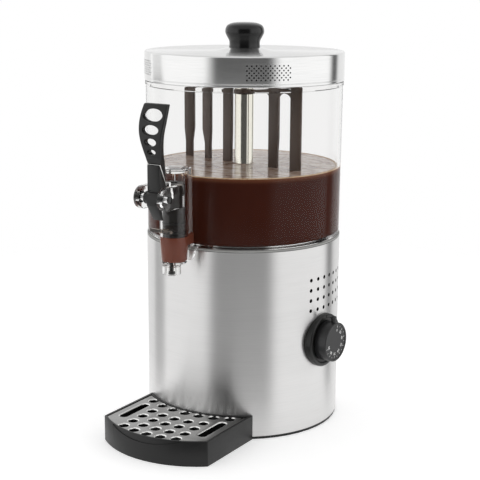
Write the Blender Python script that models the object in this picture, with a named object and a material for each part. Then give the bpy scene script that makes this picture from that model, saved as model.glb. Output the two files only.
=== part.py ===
"""Hot chocolate dispenser: a heated round base, a clear tank with a front tap, a mixing paddle and a lid.

Metres, +Z up. The origin is on the body's axis at the underside of the base cover. The tap and the drip
tray face -Y and the heat dial faces +X. Angles round the body count from -Y towards +X.
"""

import math

import bmesh
import bpy
from mathutils import Matrix, Vector

# Gaps and cutting values shared by all pieces
SEAT_GAP = 0.0003
RUN_GAP = 0.0005
SHAFT_PLAY = 0.00008
CUT_OVERRUN = 0.004
JOIN_DEPTH = 0.0008
WELD_DISTANCE = 0.00002

# Facets round a full turn, by the size of the round piece
SIDES_BODY = 48
SIDES_LARGE = 32
SIDES_MEDIUM = 20
SIDES_SMALL = 16
SIDES_HOLE = 10
SMOOTH_ANGLE = math.radians(35)

# Base cover, the black rim that the machine stands on
COVER_INSET = 0.0004
COVER_THICK = 0.0026
COVER_LIP_HEIGHT = 0.0056
COVER_LIP_WALL = 0.0022
COVER_BOSS_PROUD = 0.0004

# Body shell, a rolled steel drum
BODY_RADIUS = 0.1150
BODY_WALL = 0.0014
BODY_TOP = 0.2194

# Air vents beside the dial
VENT_DIAMETER = 0.0045
VENT_ROWS = 4
VENT_COLUMNS = 7
VENT_ROW_PITCH = 0.0120
VENT_TOP_DROP = 0.0388
VENT_FIRST_ANGLE = math.radians(74.6)
VENT_ANGLE_PITCH = math.radians(5.98)

# Steel frame ring inside the top of the shell, and the black seat ring over it
FRAME_LEDGE = 0.0130
FRAME_THICK = 0.0032
FRAME_SINK = 0.0017
SEAT_RISE = 0.0023

# Heating plate, its element and its safety cut-out
PLATE_FLANGE_INSET = 0.0080
PLATE_FLANGE_WIDTH = 0.0075
PLATE_FLANGE_THICK = 0.0020
PLATE_THICK = 0.0065
ELEMENT_RING_RADIUS = 0.0620
ELEMENT_TUBE_RADIUS = 0.0040
ELEMENT_END_LENGTH = 0.0120
CUTOUT_RADIUS = 0.0085
CUTOUT_HEIGHT = 0.0100
CUTOUT_OFFSET = 0.0360

# Column and shaft that carry the mixing paddle
COLUMN_RADIUS = 0.0110
COLUMN_WALL = 0.0014
COLUMN_DROP = 0.0164
COLUMN_FOOT_RADIUS = 0.0200
COLUMN_FOOT_THICK = 0.0022
SHAFT_RADIUS = 0.0040
SHAFT_PROUD = 0.0200
BUSH_LENGTH = 0.0120
LOWER_BUSH_RADIUS = 0.0070
COUPLING_RADIUS = 0.0085
COUPLING_LENGTH = 0.0160

# Gear motor, its bracket, stand-offs and screws
GEARBOX_RADIUS = 0.0300
GEARBOX_HEIGHT = 0.0240
GEARBOX_DROP = 0.0377
MOTOR_RADIUS = 0.0230
MOTOR_HEIGHT = 0.0560
MOTOR_BOSS_RADIUS = 0.0060
MOTOR_BOSS_HEIGHT = 0.0035
OUTPUT_RADIUS = 0.0030
BRACKET_END = 0.0070
BRACKET_WIDTH = 0.0480
BRACKET_THICK = 0.0025
STANDOFF_RADIUS = 0.0045
STANDOFF_INSET = 0.0160
MOTOR_SCREW_SPREAD = 0.0230
SCREW_RADIUS = 0.0020
SCREW_HEAD_RADIUS = 0.0036
SCREW_HEAD_HEIGHT = 0.0022

# Clear tank
TANK_INSET = 0.0010
TANK_FLARE = 0.0010
TANK_WALL = 0.0032
TANK_HEIGHT = 0.1789
TANK_FLOOR_THICK = 0.0030
TANK_FLOOR_PLAY = 0.0010
TANK_RIM_PROUD = 0.0008
TANK_RIM_HEIGHT = 0.0044
PORT_WIDTH = 0.0064
PORT_RISE = 0.0046
PORT_HEIGHT = 0.0104

# Clear hook under the tank's front edge
HOOK_WIDTH = 0.0240
HOOK_TAPER_WIDTH = 0.0130
HOOK_DEPTH = 0.0045
HOOK_LENGTH = 0.0130

# Tap barrel and its outlet cup
TAP_STANDOFF = 0.0290
BARREL_RADIUS = 0.0158
BARREL_BORE = 0.0130
BARREL_LENGTH = 0.0758
BARREL_RISE = 0.0010
CUP_LOW_RADIUS = 0.0140
CUP_DROP = 0.0171
CUP_FLOOR = 0.0026
WEB_THICK = 0.0078
PASSAGE_WIDTH = 0.0116
PASSAGE_WALL = 0.0024

# Outlet nozzle
NOZZLE_LEAD = 0.0050
NOZZLE_SKIRT_RADIUS = 0.0103
NOZZLE_SKIRT_WALL = 0.0013
NOZZLE_SKIRT_LENGTH = 0.0106
NOZZLE_TUBE_RADIUS = 0.0052
NOZZLE_BORE = 0.0042
NOZZLE_TUBE_LENGTH = 0.0126
NOZZLE_PLATE = 0.0018
NOZZLE_LIP_BORE = 0.0032
NOZZLE_LIP_HEIGHT = 0.0012

# Ears that carry the lever's axle
PIVOT_LEAD = 0.0197
PIVOT_DROP = 0.0115
EAR_RADIUS = 0.0124
EAR_INNER = 0.0115
EAR_THICK = 0.0075
EAR_ROOT_LEAD = 0.0070
AXLE_RADIUS = 0.0038
AXLE_HEAD_RADIUS = 0.0062
AXLE_HEAD_THICK = 0.0016

# Plunger, its stem, rings and valve tip
PLUNGER_RADIUS = 0.0124
PLUNGER_RISE = 0.0020
PLUNGER_HEADROOM = 0.0148
PLUNGER_BORE = 0.0046
PLUNGER_FLOOR = 0.0100
RING_LOW_OFFSET = 0.0045
RING_PITCH = 0.0100
RING_GROOVE_DEPTH = 0.0017
RING_WIDTH = 0.0020
RING_SQUEEZE_GAP = 0.00025
STEM_RADIUS = 0.0022
TIP_RADIUS = 0.0037
TIP_HEIGHT = 0.0032

# Cap with the spring's guide post
CAP_FLANGE = 0.0015
CAP_PLUG = 0.0030
POST_RADIUS = 0.0015
POST_COLLAR_RADIUS = 0.0040
POST_COLLAR_HEIGHT = 0.0020
POST_LENGTH = 0.0238

# Return spring
SPRING_WIRE_RADIUS = 0.0005
SPRING_COIL_RADIUS = 0.0034
SPRING_CURLS = 7
SPRING_POINTS_PER_CURL = 9

# Lever arm
HUB_RADIUS = 0.0070
HUB_SIDE_PLAY = 0.0010
ARM_WIDTH = 0.0164
ARM_LEAD = 0.0017
ARM_THICK = 0.0118
FINGER_LEAD = 0.0090
FINGER_TIP_RADIUS = 0.0025
FINGER_WIDTH = 0.0084
FINGER_PLAY = 0.0009
FOOT_WIDTH = 0.0120
FOOT_DROP = 0.0250
FOOT_TIP_BACK = 0.0075
FOOT_TIP_THICK = 0.0020
# Where the foot leaves the hub, in front and behind
FOOT_FRONT_SHARE = 0.9
FOOT_BACK_SHARE = 0.6
PULL_RANGE = math.radians(24)

# Slanted joint between arm and grip, with its bright trim
SPLIT_RISE = 0.0361
SPLIT_DROP = 0.0243
TRIM_THICK = 0.0012
TRIM_WIDTH = 0.0168

# Lever grip. Lead over the arm's front, thickness and width of its foot, which the slanted joint cuts off
GRIP_SINK = 0.0033
GRIP_FOOT = (-0.0002, ARM_THICK, 0.0160)
# Rise over the joint's front edge, lead over the arm's front, thickness and width of each section
GRIP_SECTIONS = (
    (-0.0116, 0.0000, ARM_THICK, 0.0160),
    (0.0000, 0.0004, 0.0110, 0.0164),
    (0.0064, 0.0014, 0.0096, 0.0182),
    (0.0144, 0.0032, 0.0080, 0.0220),
    (0.0244, 0.0051, 0.0070, 0.0264),
    (0.0344, 0.0053, 0.0064, 0.0300),
    (0.0444, 0.0030, 0.0060, 0.0324),
    (0.0544, -0.0007, 0.0058, 0.0324),
    (0.0638, -0.0053, 0.0056, 0.0306),
)
GRIP_EDGE_ROUND = 0.0012
# Holes through the grip: rise of the centre over the joint's front edge, width and height
GRIP_HOLES = (
    (0.0522, 0.0244, 0.0134),
    (0.0371, 0.0200, 0.0102),
    (0.0240, 0.0142, 0.0082),
    (0.0132, 0.0098, 0.0056),
)

# Cross bar at the foot of the barrel
STOP_DROP = 0.0380
STOP_LEAD = 0.0082
STOP_WIDTH = 0.0278
STOP_BAR = 0.0042
STOP_STEM_WIDTH = 0.0070

# Mixing paddle
PADDLE_ANGLE = math.radians(80)
PADDLE_INSET = 0.0240
HUB_PADDLE_RISE = 0.0140
CROSSBAR_DROP = 0.0050
CROSSBAR_HEIGHT = 0.0050
BLADE_PROUD = 0.0035
BLADE_CLEARANCE = 0.0055
BLADE_WIDE_LENGTH = 0.0610
BLADE_TAPER_LENGTH = 0.0160
BLADE_WIDTH = 0.0130
BLADE_THICK = 0.0045
# Blades: distance from the axis as a share of the paddle's reach, negative on the far wing, own turn, and how
# far its -X and +X edges draw in below the shoulder, as shares of its width
PADDLE_BLADE_SHARES = (
    (0.516, math.radians(10), 0.00, 0.08),
    (0.878, math.radians(24), 0.00, 0.00),
    (-0.287, math.radians(0), 0.00, 0.04),
    (-0.667, math.radians(0), 0.30, 0.07),
    (-1.000, math.radians(24), 0.12, 0.16),
)
HUB_PADDLE_RADIUS = 0.0125
NUT_RADIUS = 0.0080

# Lid
LID_PROUD = 0.0005
LID_HEIGHT = 0.0334
LID_WALL = 0.0014
LID_CORNER = 0.0016
LID_CORNER_SHARE = 0.3
BOSS_BASE_RADIUS = 0.0340
BOSS_TOP_RADIUS = 0.0205
BOSS_HEIGHT = 0.0031
LINER_WALL = 0.0022
LINER_DROP = 0.0060
LINER_SIDE_PLAY = 0.0012

# Lid knob: radius and height above the boss of each ring of its outline
KNOB_PROFILE = (
    (0.0181, 0.0000),
    (0.0177, 0.0040),
    (0.0181, 0.0078),
    (0.0204, 0.0122),
    (0.0223, 0.0162),
    (0.0226, 0.0190),
    (0.0219, 0.0224),
    (0.0196, 0.0256),
    (0.0140, 0.0279),
    (0.0070, 0.0287),
)
KNOB_HEIGHT = 0.0288
KNOB_SCREW_RADIUS = 0.0025
KNOB_SCREW_DEPTH = 0.0120
KNOB_SCREW_HEAD_RADIUS = 0.0050
KNOB_SCREW_HEAD_HEIGHT = 0.0030

# Heat dial
DIAL_ANGLE = math.radians(85.7)
DIAL_DROP = 0.0386
BEZEL_RADIUS = 0.0313
BEZEL_PROUD = 0.0056
BEZEL_RIM = 0.0051
BEZEL_RECESS_DEPTH = 0.0018
DIAL_MARGIN = 0.0032
DIAL_FACE_PROUD = 0.0192
DIAL_FACE_DISH = 0.0010
DIAL_FACE_RIM = 0.0020
POINTER_LENGTH = 0.0080
POINTER_WIDTH = 0.0042
POINTER_THICK = 0.0050
POINTER_SINK = 0.0012
SPINDLE_RADIUS = 0.0030
SPINDLE_HOLE_RADIUS = 0.0050
THERMOSTAT_SIZE = 0.0300
THERMOSTAT_DEPTH = 0.0180

# Mains switch on the far side, opposite the dial
SWITCH_FRAME_WIDTH = 0.0215
SWITCH_FRAME_HEIGHT = 0.0300
SWITCH_FRAME_PROUD = 0.0018
SWITCH_SIDE_FLANGE = 0.0015
SWITCH_END_FLANGE = 0.00175
SWITCH_BODY_DEPTH = 0.0160
SWITCH_WALL = 0.0016
ROCKER_DEPTH = 0.0080
ROCKER_SPACE = 0.0024
ROCKER_TILT = math.radians(9)
# Depths of the rocker's back at its top, middle and bottom, and how far up its back slopes run
ROCKER_BACK_SHARES = (0.45, 0.75, 0.60)
ROCKER_END_SHARE = 0.9

# Cable inlet at the back, and the terminal block inside
INLET_HEIGHT = 0.0240
INLET_BORE = 0.0035
INLET_NECK_RADIUS = 0.0072
INLET_FLANGE_RADIUS = 0.0098
INLET_FLANGE_THICK = 0.0020
TERMINAL_LENGTH = 0.0440
TERMINAL_WIDTH = 0.0180
TERMINAL_HEIGHT = 0.0200
TERMINAL_INSET = 0.0430

# Screws through the base cover into the shell's inner lugs
LUG_ANGLE_FIRST = math.radians(45)
LUG_INSET = 0.0112
LUG_RADIUS = 0.0060
LUG_HEIGHT = 0.0100
LUG_WEB_SHARE = 0.6
BASE_SCREWS = 4

# Drip tray
TRAY_HALF_WIDTH = 0.0710
TRAY_LENGTH = 0.0930
TRAY_FRONT_RADIUS = 0.1120
TRAY_HEIGHT = 0.0286
TRAY_WALL = 0.0030
TRAY_FLOOR = 0.0030
TRAY_ARC_STEPS = 14
TRAY_LEDGE_WIDTH = 0.0022
SCALLOP_HALF_WIDTH = 0.0500
SCALLOP_DROP = 0.0078
SCALLOP_DEPTH = 0.0012
HOOK_TAB_SPREAD = 0.0380
HOOK_TAB_WIDTH = 0.0140
HOOK_TAB_HEIGHT = 0.0040
HOOK_TAB_LENGTH = 0.0060
HOOK_TAB_LEVEL = 0.0150

# Drip grille
GRILLE_THICK = 0.0014
GRILLE_SINK = 0.0005
GRILLE_HOLE_DIAMETER = 0.0110
# Pitch of the holes as a share of the tray's half width, and rows and slots as shares of its length
GRILLE_PITCH_SHARE = 0.2507
GRILLE_BACK_ROW_SHARE = 0.0968
GRILLE_ROW_CURVE_RADIUS = 0.1100
GRILLE_ROW_SHARES = (0.3226, 0.5161, 0.7097, 0.8925)
GRILLE_BACK_HOLES = 7
GRILLE_ROW_HOLES = 5
SLOT_INSET = 0.0170
SLOT_FRONT_SHARE = 0.6237
SLOT_BACK_SHARE = 0.0968
SLOT_WIDTH = 0.0096

# Where pieces sit, worked out from the sizes above
COVER_RADIUS = BODY_RADIUS - COVER_INSET
SHELL_BOTTOM = COVER_THICK + SEAT_GAP
SHELL_INNER = BODY_RADIUS - BODY_WALL
VENT_LOWEST = BODY_TOP - VENT_TOP_DROP - VENT_ROW_PITCH * (VENT_ROWS - 1)
LUG_REACH = BODY_RADIUS - LUG_INSET
TERMINAL_REACH = BODY_RADIUS - TERMINAL_INSET
PLATE_FLANGE_RADIUS = BODY_RADIUS - PLATE_FLANGE_INSET
PLATE_RADIUS = PLATE_FLANGE_RADIUS - PLATE_FLANGE_WIDTH
FRAME_INNER = PLATE_FLANGE_RADIUS - FRAME_LEDGE
FRAME_TOP = BODY_TOP - FRAME_SINK
SEAT_TOP = BODY_TOP + SEAT_RISE
PLATE_BOTTOM = FRAME_TOP + SEAT_GAP
PLATE_FLANGE_TOP = PLATE_BOTTOM + PLATE_FLANGE_THICK
PLATE_TOP = PLATE_BOTTOM + PLATE_THICK
GEARBOX_TOP = FRAME_TOP - GEARBOX_DROP
STANDOFF_SPREAD = FRAME_INNER - STANDOFF_INSET
BRACKET_LENGTH = (STANDOFF_SPREAD + BRACKET_END) * 2

TANK_RADIUS_LOW = BODY_RADIUS - TANK_INSET
TANK_RADIUS_HIGH = TANK_RADIUS_LOW + TANK_FLARE
TANK_RIM_RADIUS = TANK_RADIUS_HIGH + TANK_RIM_PROUD
TANK_FLOOR_INNER = PLATE_RADIUS + TANK_FLOOR_PLAY
TANK_BOTTOM = SEAT_TOP + SEAT_GAP
TANK_TOP = TANK_BOTTOM + TANK_HEIGHT
TANK_FLOOR_TOP = TANK_BOTTOM + TANK_FLOOR_THICK
PORT_LOW = TANK_BOTTOM + PORT_RISE

TAP_REACH = TANK_RADIUS_LOW + TAP_STANDOFF
BARREL_LOW = PORT_LOW + PORT_HEIGHT + BARREL_RISE
BARREL_TOP = BARREL_LOW + BARREL_LENGTH
CUP_BOTTOM = PORT_LOW - CUP_DROP
NOZZLE_REACH = TAP_REACH + NOZZLE_LEAD
NOZZLE_TOP = CUP_BOTTOM - SEAT_GAP
NOZZLE_END = NOZZLE_TOP - NOZZLE_TUBE_LENGTH
PLUNGER_BOTTOM = BARREL_LOW + PLUNGER_RISE
PLUNGER_TOP = BARREL_TOP - PLUNGER_HEADROOM
POST_COLLAR_TOP = BARREL_TOP - POST_LENGTH
EAR_OUTER = EAR_INNER + EAR_THICK
EAR_BACK_REACH = TAP_REACH + EAR_ROOT_LEAD

PIVOT_REACH = TAP_REACH + BARREL_RADIUS + PIVOT_LEAD
PIVOT_HEIGHT = PLUNGER_TOP - PIVOT_DROP
FINGER_REACH = PIVOT_REACH - TAP_REACH - FINGER_LEAD
PULL_LIFT = FINGER_REACH * math.sin(PULL_RANGE)
ARM_FRONT_REACH = PIVOT_REACH + ARM_LEAD
ARM_BACK_REACH = ARM_FRONT_REACH - ARM_THICK
SPLIT_FRONT_HEIGHT = PIVOT_HEIGHT + SPLIT_RISE
SPLIT_BACK_HEIGHT = SPLIT_FRONT_HEIGHT - SPLIT_DROP
STOP_HEIGHT = PIVOT_HEIGHT - STOP_DROP
STOP_REACH = TAP_REACH + BARREL_RADIUS + STOP_LEAD

COLUMN_TOP = TANK_TOP - COLUMN_DROP
SHAFT_TOP = COLUMN_TOP + SHAFT_PROUD
PADDLE_REACH = TANK_RADIUS_LOW - PADDLE_INSET
HUB_PADDLE_TOP = COLUMN_TOP + HUB_PADDLE_RISE
CROSSBAR_TOP = HUB_PADDLE_TOP - CROSSBAR_DROP
BLADE_TOP = CROSSBAR_TOP + BLADE_PROUD
BLADE_SHOULDER = BLADE_TOP - BLADE_WIDE_LENGTH
BLADE_NECK = BLADE_SHOULDER - BLADE_TAPER_LENGTH
BLADE_BOTTOM = PLATE_TOP + BLADE_CLEARANCE
PADDLE_BLADES = tuple((PADDLE_REACH * share, *others) for share, *others in PADDLE_BLADE_SHARES)

LID_RADIUS = TANK_RIM_RADIUS + LID_PROUD
LID_BOTTOM = TANK_TOP + SEAT_GAP
LID_TOP = LID_BOTTOM + LID_HEIGHT
BOSS_TOP = LID_TOP + BOSS_HEIGHT
KNOB_BASE = BOSS_TOP + SEAT_GAP

DIAL_HEIGHT = VENT_LOWEST - DIAL_DROP
DIAL_DIRECTION = Vector((math.sin(DIAL_ANGLE), -math.cos(DIAL_ANGLE), 0))
DIAL_CENTRE = Vector((0, 0, DIAL_HEIGHT))
BEZEL_RECESS_RADIUS = BEZEL_RADIUS - BEZEL_RIM
DIAL_RADIUS = BEZEL_RECESS_RADIUS - DIAL_MARGIN
SWITCH_HEIGHT = DIAL_HEIGHT
SWITCH_BODY_WIDTH = SWITCH_FRAME_WIDTH - SWITCH_SIDE_FLANGE * 2
SWITCH_BODY_HEIGHT = SWITCH_FRAME_HEIGHT - SWITCH_END_FLANGE * 2

TRAY_BACK_RADIUS = BODY_RADIUS + SEAT_GAP
TRAY_FRONT_REACH = BODY_RADIUS + TRAY_LENGTH
TRAY_ARC_CENTRE = TRAY_FRONT_REACH - TRAY_FRONT_RADIUS
GRILLE_TOP = TRAY_HEIGHT - GRILLE_SINK
GRILLE_HOLE_PITCH = TRAY_HALF_WIDTH * GRILLE_PITCH_SHARE
GRILLE_BACK_ROW_RADIUS = BODY_RADIUS + TRAY_LENGTH * GRILLE_BACK_ROW_SHARE
SLOT_REACH = TRAY_HALF_WIDTH - SLOT_INSET
SLOT_FRONT = BODY_RADIUS + TRAY_LENGTH * SLOT_FRONT_SHARE
SLOT_BACK = BODY_RADIUS + TRAY_LENGTH * SLOT_BACK_SHARE


def clear_scene():
    for thing in list(bpy.data.objects):
        bpy.data.objects.remove(thing, do_unlink=True)


def material(name, colour, roughness, metallic=0.0, alpha=1.0):
    made = bpy.data.materials.new(name)
    made.use_nodes = True
    shader = made.node_tree.nodes["Principled BSDF"]
    shader.inputs["Base Color"].default_value = (*colour, 1.0)
    shader.inputs["Roughness"].default_value = roughness
    shader.inputs["Metallic"].default_value = metallic
    shader.inputs["Alpha"].default_value = alpha
    made.diffuse_color = (*colour, alpha)
    return made


def brushed_steel(name):
    return material(name, (0.62, 0.62, 0.61), 0.30, 1.0)


def polished_steel(name):
    return material(name, (0.72, 0.72, 0.71), 0.12, 1.0)


def black_plastic(name):
    return material(name, (0.022, 0.022, 0.023), 0.42)


def rubber(name):
    return material(name, (0.030, 0.030, 0.031), 0.75)


def clear_plastic(name):
    return material(name, (0.90, 0.91, 0.90), 0.05, 0.0, 0.30)


def from_bmesh(name, shape):
    """Make a scene object from a bmesh, with its faces turned outwards."""
    bmesh.ops.remove_doubles(shape, verts=shape.verts, dist=WELD_DISTANCE)
    bmesh.ops.recalc_face_normals(shape, faces=shape.faces)
    mesh = bpy.data.meshes.new(name)
    shape.to_mesh(mesh)
    shape.free()
    made = bpy.data.objects.new(name, mesh)
    bpy.context.scene.collection.objects.link(made)
    return made


def turned(name, profile, sides):
    """Turn a closed outline of (radius, height) points about the Z axis."""
    shape = bmesh.new()
    verts = [shape.verts.new((radius, 0, height)) for radius, height in profile]
    edges = [shape.edges.new((verts[i - 1], verts[i])) for i in range(len(verts))]
    edges = [e for e in edges if e.verts[0].co.x > 0 or e.verts[1].co.x > 0]
    start = verts + edges
    bmesh.ops.spin(
        shape, geom=start, cent=(0, 0, 0), axis=(0, 0, 1), angle=2 * math.pi, steps=sides, use_merge=True
    )
    loose = [e for e in shape.edges if not e.link_faces]
    bmesh.ops.delete(shape, geom=loose, context="EDGES")
    return from_bmesh(name, shape)


def cylinder(name, radius, low, high, sides):
    return turned(name, ((0, low), (radius, low), (radius, high), (0, high)), sides)


def tube(name, outer, inner, low, high, sides):
    return turned(name, ((inner, low), (outer, low), (outer, high), (inner, high)), sides)


def prism(name, outline, low, high):
    """Extrude a flat outline of (x, y) points from height low to height high."""
    shape = bmesh.new()
    face = shape.faces.new([shape.verts.new((x, y, low)) for x, y in outline])
    grown = bmesh.ops.extrude_face_region(shape, geom=[face])
    top = [v for v in grown["geom"] if isinstance(v, bmesh.types.BMVert)]
    bmesh.ops.translate(shape, verts=top, vec=(0, 0, high - low))
    return from_bmesh(name, shape)


def block(name, low, high):
    """Box between two opposite corners."""
    outline = ((low[0], low[1]), (high[0], low[1]), (high[0], high[1]), (low[0], high[1]))
    return prism(name, outline, low[2], high[2])


def side_prism(name, outline, half_width):
    """Extrude a side outline of (reach forwards, height) points evenly to both sides of the middle plane."""
    made = prism(name, outline, -half_width, half_width)
    # outline x is the reach towards -Y, outline y is the height, and the extrusion runs along X
    made.data.transform(Matrix(((0, 0, -1, 0), (-1, 0, 0, 0), (0, 1, 0, 0), (0, 0, 0, 1))))
    return made


def front_prism(name, outline, near, far):
    """Extrude a front outline of (x, height) points from reach near to reach far, both towards -Y."""
    made = prism(name, outline, near, far)
    made.data.transform(Matrix(((1, 0, 0, 0), (0, 0, -1, 0), (0, 1, 0, 0), (0, 0, 0, 1))))
    return made


def arc(centre, radius, start, end, steps):
    """Points along an arc, both ends included."""
    turn = (end - start) / steps
    return [
        (centre[0] + radius * math.cos(start + turn * i), centre[1] + radius * math.sin(start + turn * i))
        for i in range(steps + 1)
    ]


def oval(centre, half_width, half_height, sides):
    turn = 2 * math.pi / sides
    return [
        (centre[0] + half_width * math.cos(turn * i), centre[1] + half_height * math.sin(turn * i))
        for i in range(sides)
    ]


def moved(thing, offset=(0, 0, 0), turn=None):
    """Turn and then shift a shape's mesh, leaving its object at the origin."""
    if turn is not None:
        thing.data.transform(turn.to_4x4())
    thing.data.transform(Matrix.Translation(offset))
    return thing


def combine(target, others, operation):
    """Boolean the other shapes into the target one after another, and delete them."""
    for other in others:
        other.hide_render = True
        other.display_type = "WIRE"
        step = target.modifiers.new(operation.lower(), "BOOLEAN")
        step.object = other
        step.operation = operation
        step.solver = "EXACT"
        result = bpy.data.meshes.new_from_object(
            target.evaluated_get(bpy.context.evaluated_depsgraph_get()), preserve_all_data_layers=False
        )
        target.modifiers.clear()
        target.data = result
        bpy.data.objects.remove(other, do_unlink=True)
    return target


def cut(target, *tools):
    return combine(target, tools, "DIFFERENCE")


def join(target, *parts):
    return combine(target, parts, "UNION")


def world_place(marker):
    """Where an empty stands, through all its parents."""
    place = Vector(marker.location)
    while marker.parent is not None:
        marker = marker.parent
        place += marker.location
    return place


def finish(thing, look, pivot=(0, 0, 0), parent=None):
    """Name a piece's material, put its origin on its own axis and shade its round faces smooth."""
    thing.data.name = thing.name
    thing.data.materials.clear()
    thing.data.materials.append(look)
    thing.data.transform(Matrix.Translation(-Vector(pivot)))
    thing.location = Vector(pivot)
    if parent is not None:
        thing.parent = parent
        thing.location = Vector(pivot) - world_place(parent)
    thing.data.shade_smooth()
    thing.data.set_sharp_from_angle(angle=SMOOTH_ANGLE)
    return thing


def axis_marker(name, place, parent=None):
    """Empty on a joint's axis, which carries the pieces that move about it."""
    marker = bpy.data.objects.new(name, None)
    bpy.context.scene.collection.objects.link(marker)
    marker.location = place
    if parent is not None:
        marker.parent = parent
        marker.location = Vector(place) - world_place(parent)
    return marker


def round_the_body(thing, angle):
    """Turn a shape made at the front of the machine round the body's axis."""
    return moved(thing, turn=Matrix.Rotation(angle, 3, "Z"))


def pointing_out(thing, height):
    """Turn a shape made along +Z so that it points out of the front, at a height."""
    return moved(thing, offset=(0, 0, height), turn=Matrix.Rotation(math.pi / 2, 3, "X"))


def make_base_cover():
    lip_outer = SHELL_INNER - SEAT_GAP
    lip_inner = lip_outer - COVER_LIP_WALL
    lip_top = COVER_THICK + COVER_LIP_HEIGHT
    cover = turned(
        "base_cover",
        (
            (0, 0),
            (COVER_RADIUS, 0),
            (COVER_RADIUS, COVER_THICK),
            (lip_outer, COVER_THICK),
            (lip_outer, lip_top),
            (lip_inner, lip_top),
            (lip_inner, COVER_THICK),
            (0, COVER_THICK),
        ),
        SIDES_BODY,
    )
    boss_top = lip_top + COVER_BOSS_PROUD
    for place in lug_places():
        boss = cylinder("boss", LUG_RADIUS, COVER_THICK - JOIN_DEPTH, boss_top, SIDES_HOLE)
        join(cover, moved(boss, offset=place))
        hole = cylinder("hole", SCREW_RADIUS + SEAT_GAP, -CUT_OVERRUN, boss_top + CUT_OVERRUN, SIDES_HOLE)
        sink_top = SCREW_HEAD_HEIGHT + 2 * SEAT_GAP
        sink = cylinder("sink", SCREW_HEAD_RADIUS + SEAT_GAP, -CUT_OVERRUN, sink_top, SIDES_HOLE)
        cut(cover, moved(hole, offset=place), moved(sink, offset=place))
    return finish(cover, black_plastic("base_cover_plastic"))


def lug_places():
    turns = [LUG_ANGLE_FIRST + 2 * math.pi * i / BASE_SCREWS for i in range(BASE_SCREWS)]
    return [(LUG_REACH * math.sin(turn), -LUG_REACH * math.cos(turn), 0) for turn in turns]


def lug_low():
    return COVER_THICK + COVER_LIP_HEIGHT + COVER_BOSS_PROUD + SEAT_GAP


def make_base_screws():
    head_low = SEAT_GAP
    head_top = head_low + SCREW_HEAD_HEIGHT
    end = lug_low() + LUG_HEIGHT - SEAT_GAP
    look = brushed_steel("base_screw_steel")
    for number, place in enumerate(lug_places(), start=1):
        screw = turned(
            f"base_screw_{number}",
            (
                (0, head_low),
                (SCREW_HEAD_RADIUS, head_low),
                (SCREW_HEAD_RADIUS, head_top),
                (SCREW_RADIUS, head_top),
                (SCREW_RADIUS, end),
                (0, end),
            ),
            SIDES_HOLE,
        )
        finish(moved(screw, offset=place), look)


def make_body_shell():
    shell = tube("body_shell", BODY_RADIUS, SHELL_INNER, SHELL_BOTTOM, BODY_TOP, SIDES_BODY)
    for i in range(BASE_SCREWS):
        web = block(
            "web",
            (-LUG_RADIUS * LUG_WEB_SHARE, -SHELL_INNER - BODY_WALL / 2, lug_low()),
            (LUG_RADIUS * LUG_WEB_SHARE, -LUG_REACH, lug_low() + LUG_HEIGHT),
        )
        lug = cylinder("lug", LUG_RADIUS, lug_low(), lug_low() + LUG_HEIGHT, SIDES_HOLE)
        join(web, moved(lug, offset=(0, -LUG_REACH, 0)))
        hole = cylinder("hole", SCREW_RADIUS + SEAT_GAP, 0, BODY_TOP, SIDES_HOLE)
        cut(web, moved(hole, offset=(0, -LUG_REACH, 0)))
        join(shell, round_the_body(web, LUG_ANGLE_FIRST + 2 * math.pi * i / BASE_SCREWS))
    near = SHELL_INNER - CUT_OVERRUN
    far = BODY_RADIUS + CUT_OVERRUN
    tools = []
    for row in range(VENT_ROWS):
        for column in range(VENT_COLUMNS):
            vent = cylinder("vent", VENT_DIAMETER / 2, near, far, SIDES_HOLE - 2)
            pointing_out(vent, VENT_LOWEST + VENT_ROW_PITCH * row)
            tools.append(round_the_body(vent, VENT_FIRST_ANGLE + VENT_ANGLE_PITCH * column))
    tools.append(on_dial_axis(cylinder("spindle_hole", SPINDLE_HOLE_RADIUS, near, far, SIDES_HOLE)))
    half_width = SWITCH_BODY_WIDTH / 2 + SEAT_GAP
    half_height = SWITCH_BODY_HEIGHT / 2 + SEAT_GAP
    tools.append(
        block(
            "switch_hole",
            (-far, -half_width, SWITCH_HEIGHT - half_height),
            (-near, half_width, SWITCH_HEIGHT + half_height),
        )
    )
    inlet_hole = cylinder("inlet_hole", INLET_NECK_RADIUS + SEAT_GAP, near, far, SIDES_SMALL)
    tools.append(round_the_body(pointing_out(inlet_hole, INLET_HEIGHT), math.pi))
    for side in (-1, 1):
        half_slot = HOOK_TAB_WIDTH / 2 + RUN_GAP
        tools.append(
            block(
                "hook_slot",
                (side * HOOK_TAB_SPREAD - half_slot, -far, HOOK_TAB_LEVEL - RUN_GAP),
                (side * HOOK_TAB_SPREAD + half_slot, 0, HOOK_TAB_LEVEL + HOOK_TAB_HEIGHT + RUN_GAP),
            )
        )
    return finish(cut(shell, *tools), brushed_steel("body_steel"))


def make_top_frame():
    ring = tube(
        "top_frame", SHELL_INNER - SEAT_GAP, FRAME_INNER, FRAME_TOP - FRAME_THICK, FRAME_TOP, SIDES_BODY
    )
    arm_width = STANDOFF_RADIUS * 3
    for side in (-1, 1):
        inner = side * (STANDOFF_SPREAD - STANDOFF_RADIUS)
        outer = side * (FRAME_INNER + JOIN_DEPTH * 3)
        ends = sorted((inner, outer))
        lug = block(
            "lug",
            (ends[0], -arm_width / 2, FRAME_TOP - FRAME_THICK),
            (ends[1], arm_width / 2, FRAME_TOP - SEAT_GAP),
        )
        join(ring, lug)
    return finish(ring, brushed_steel("frame_steel"))


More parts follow.
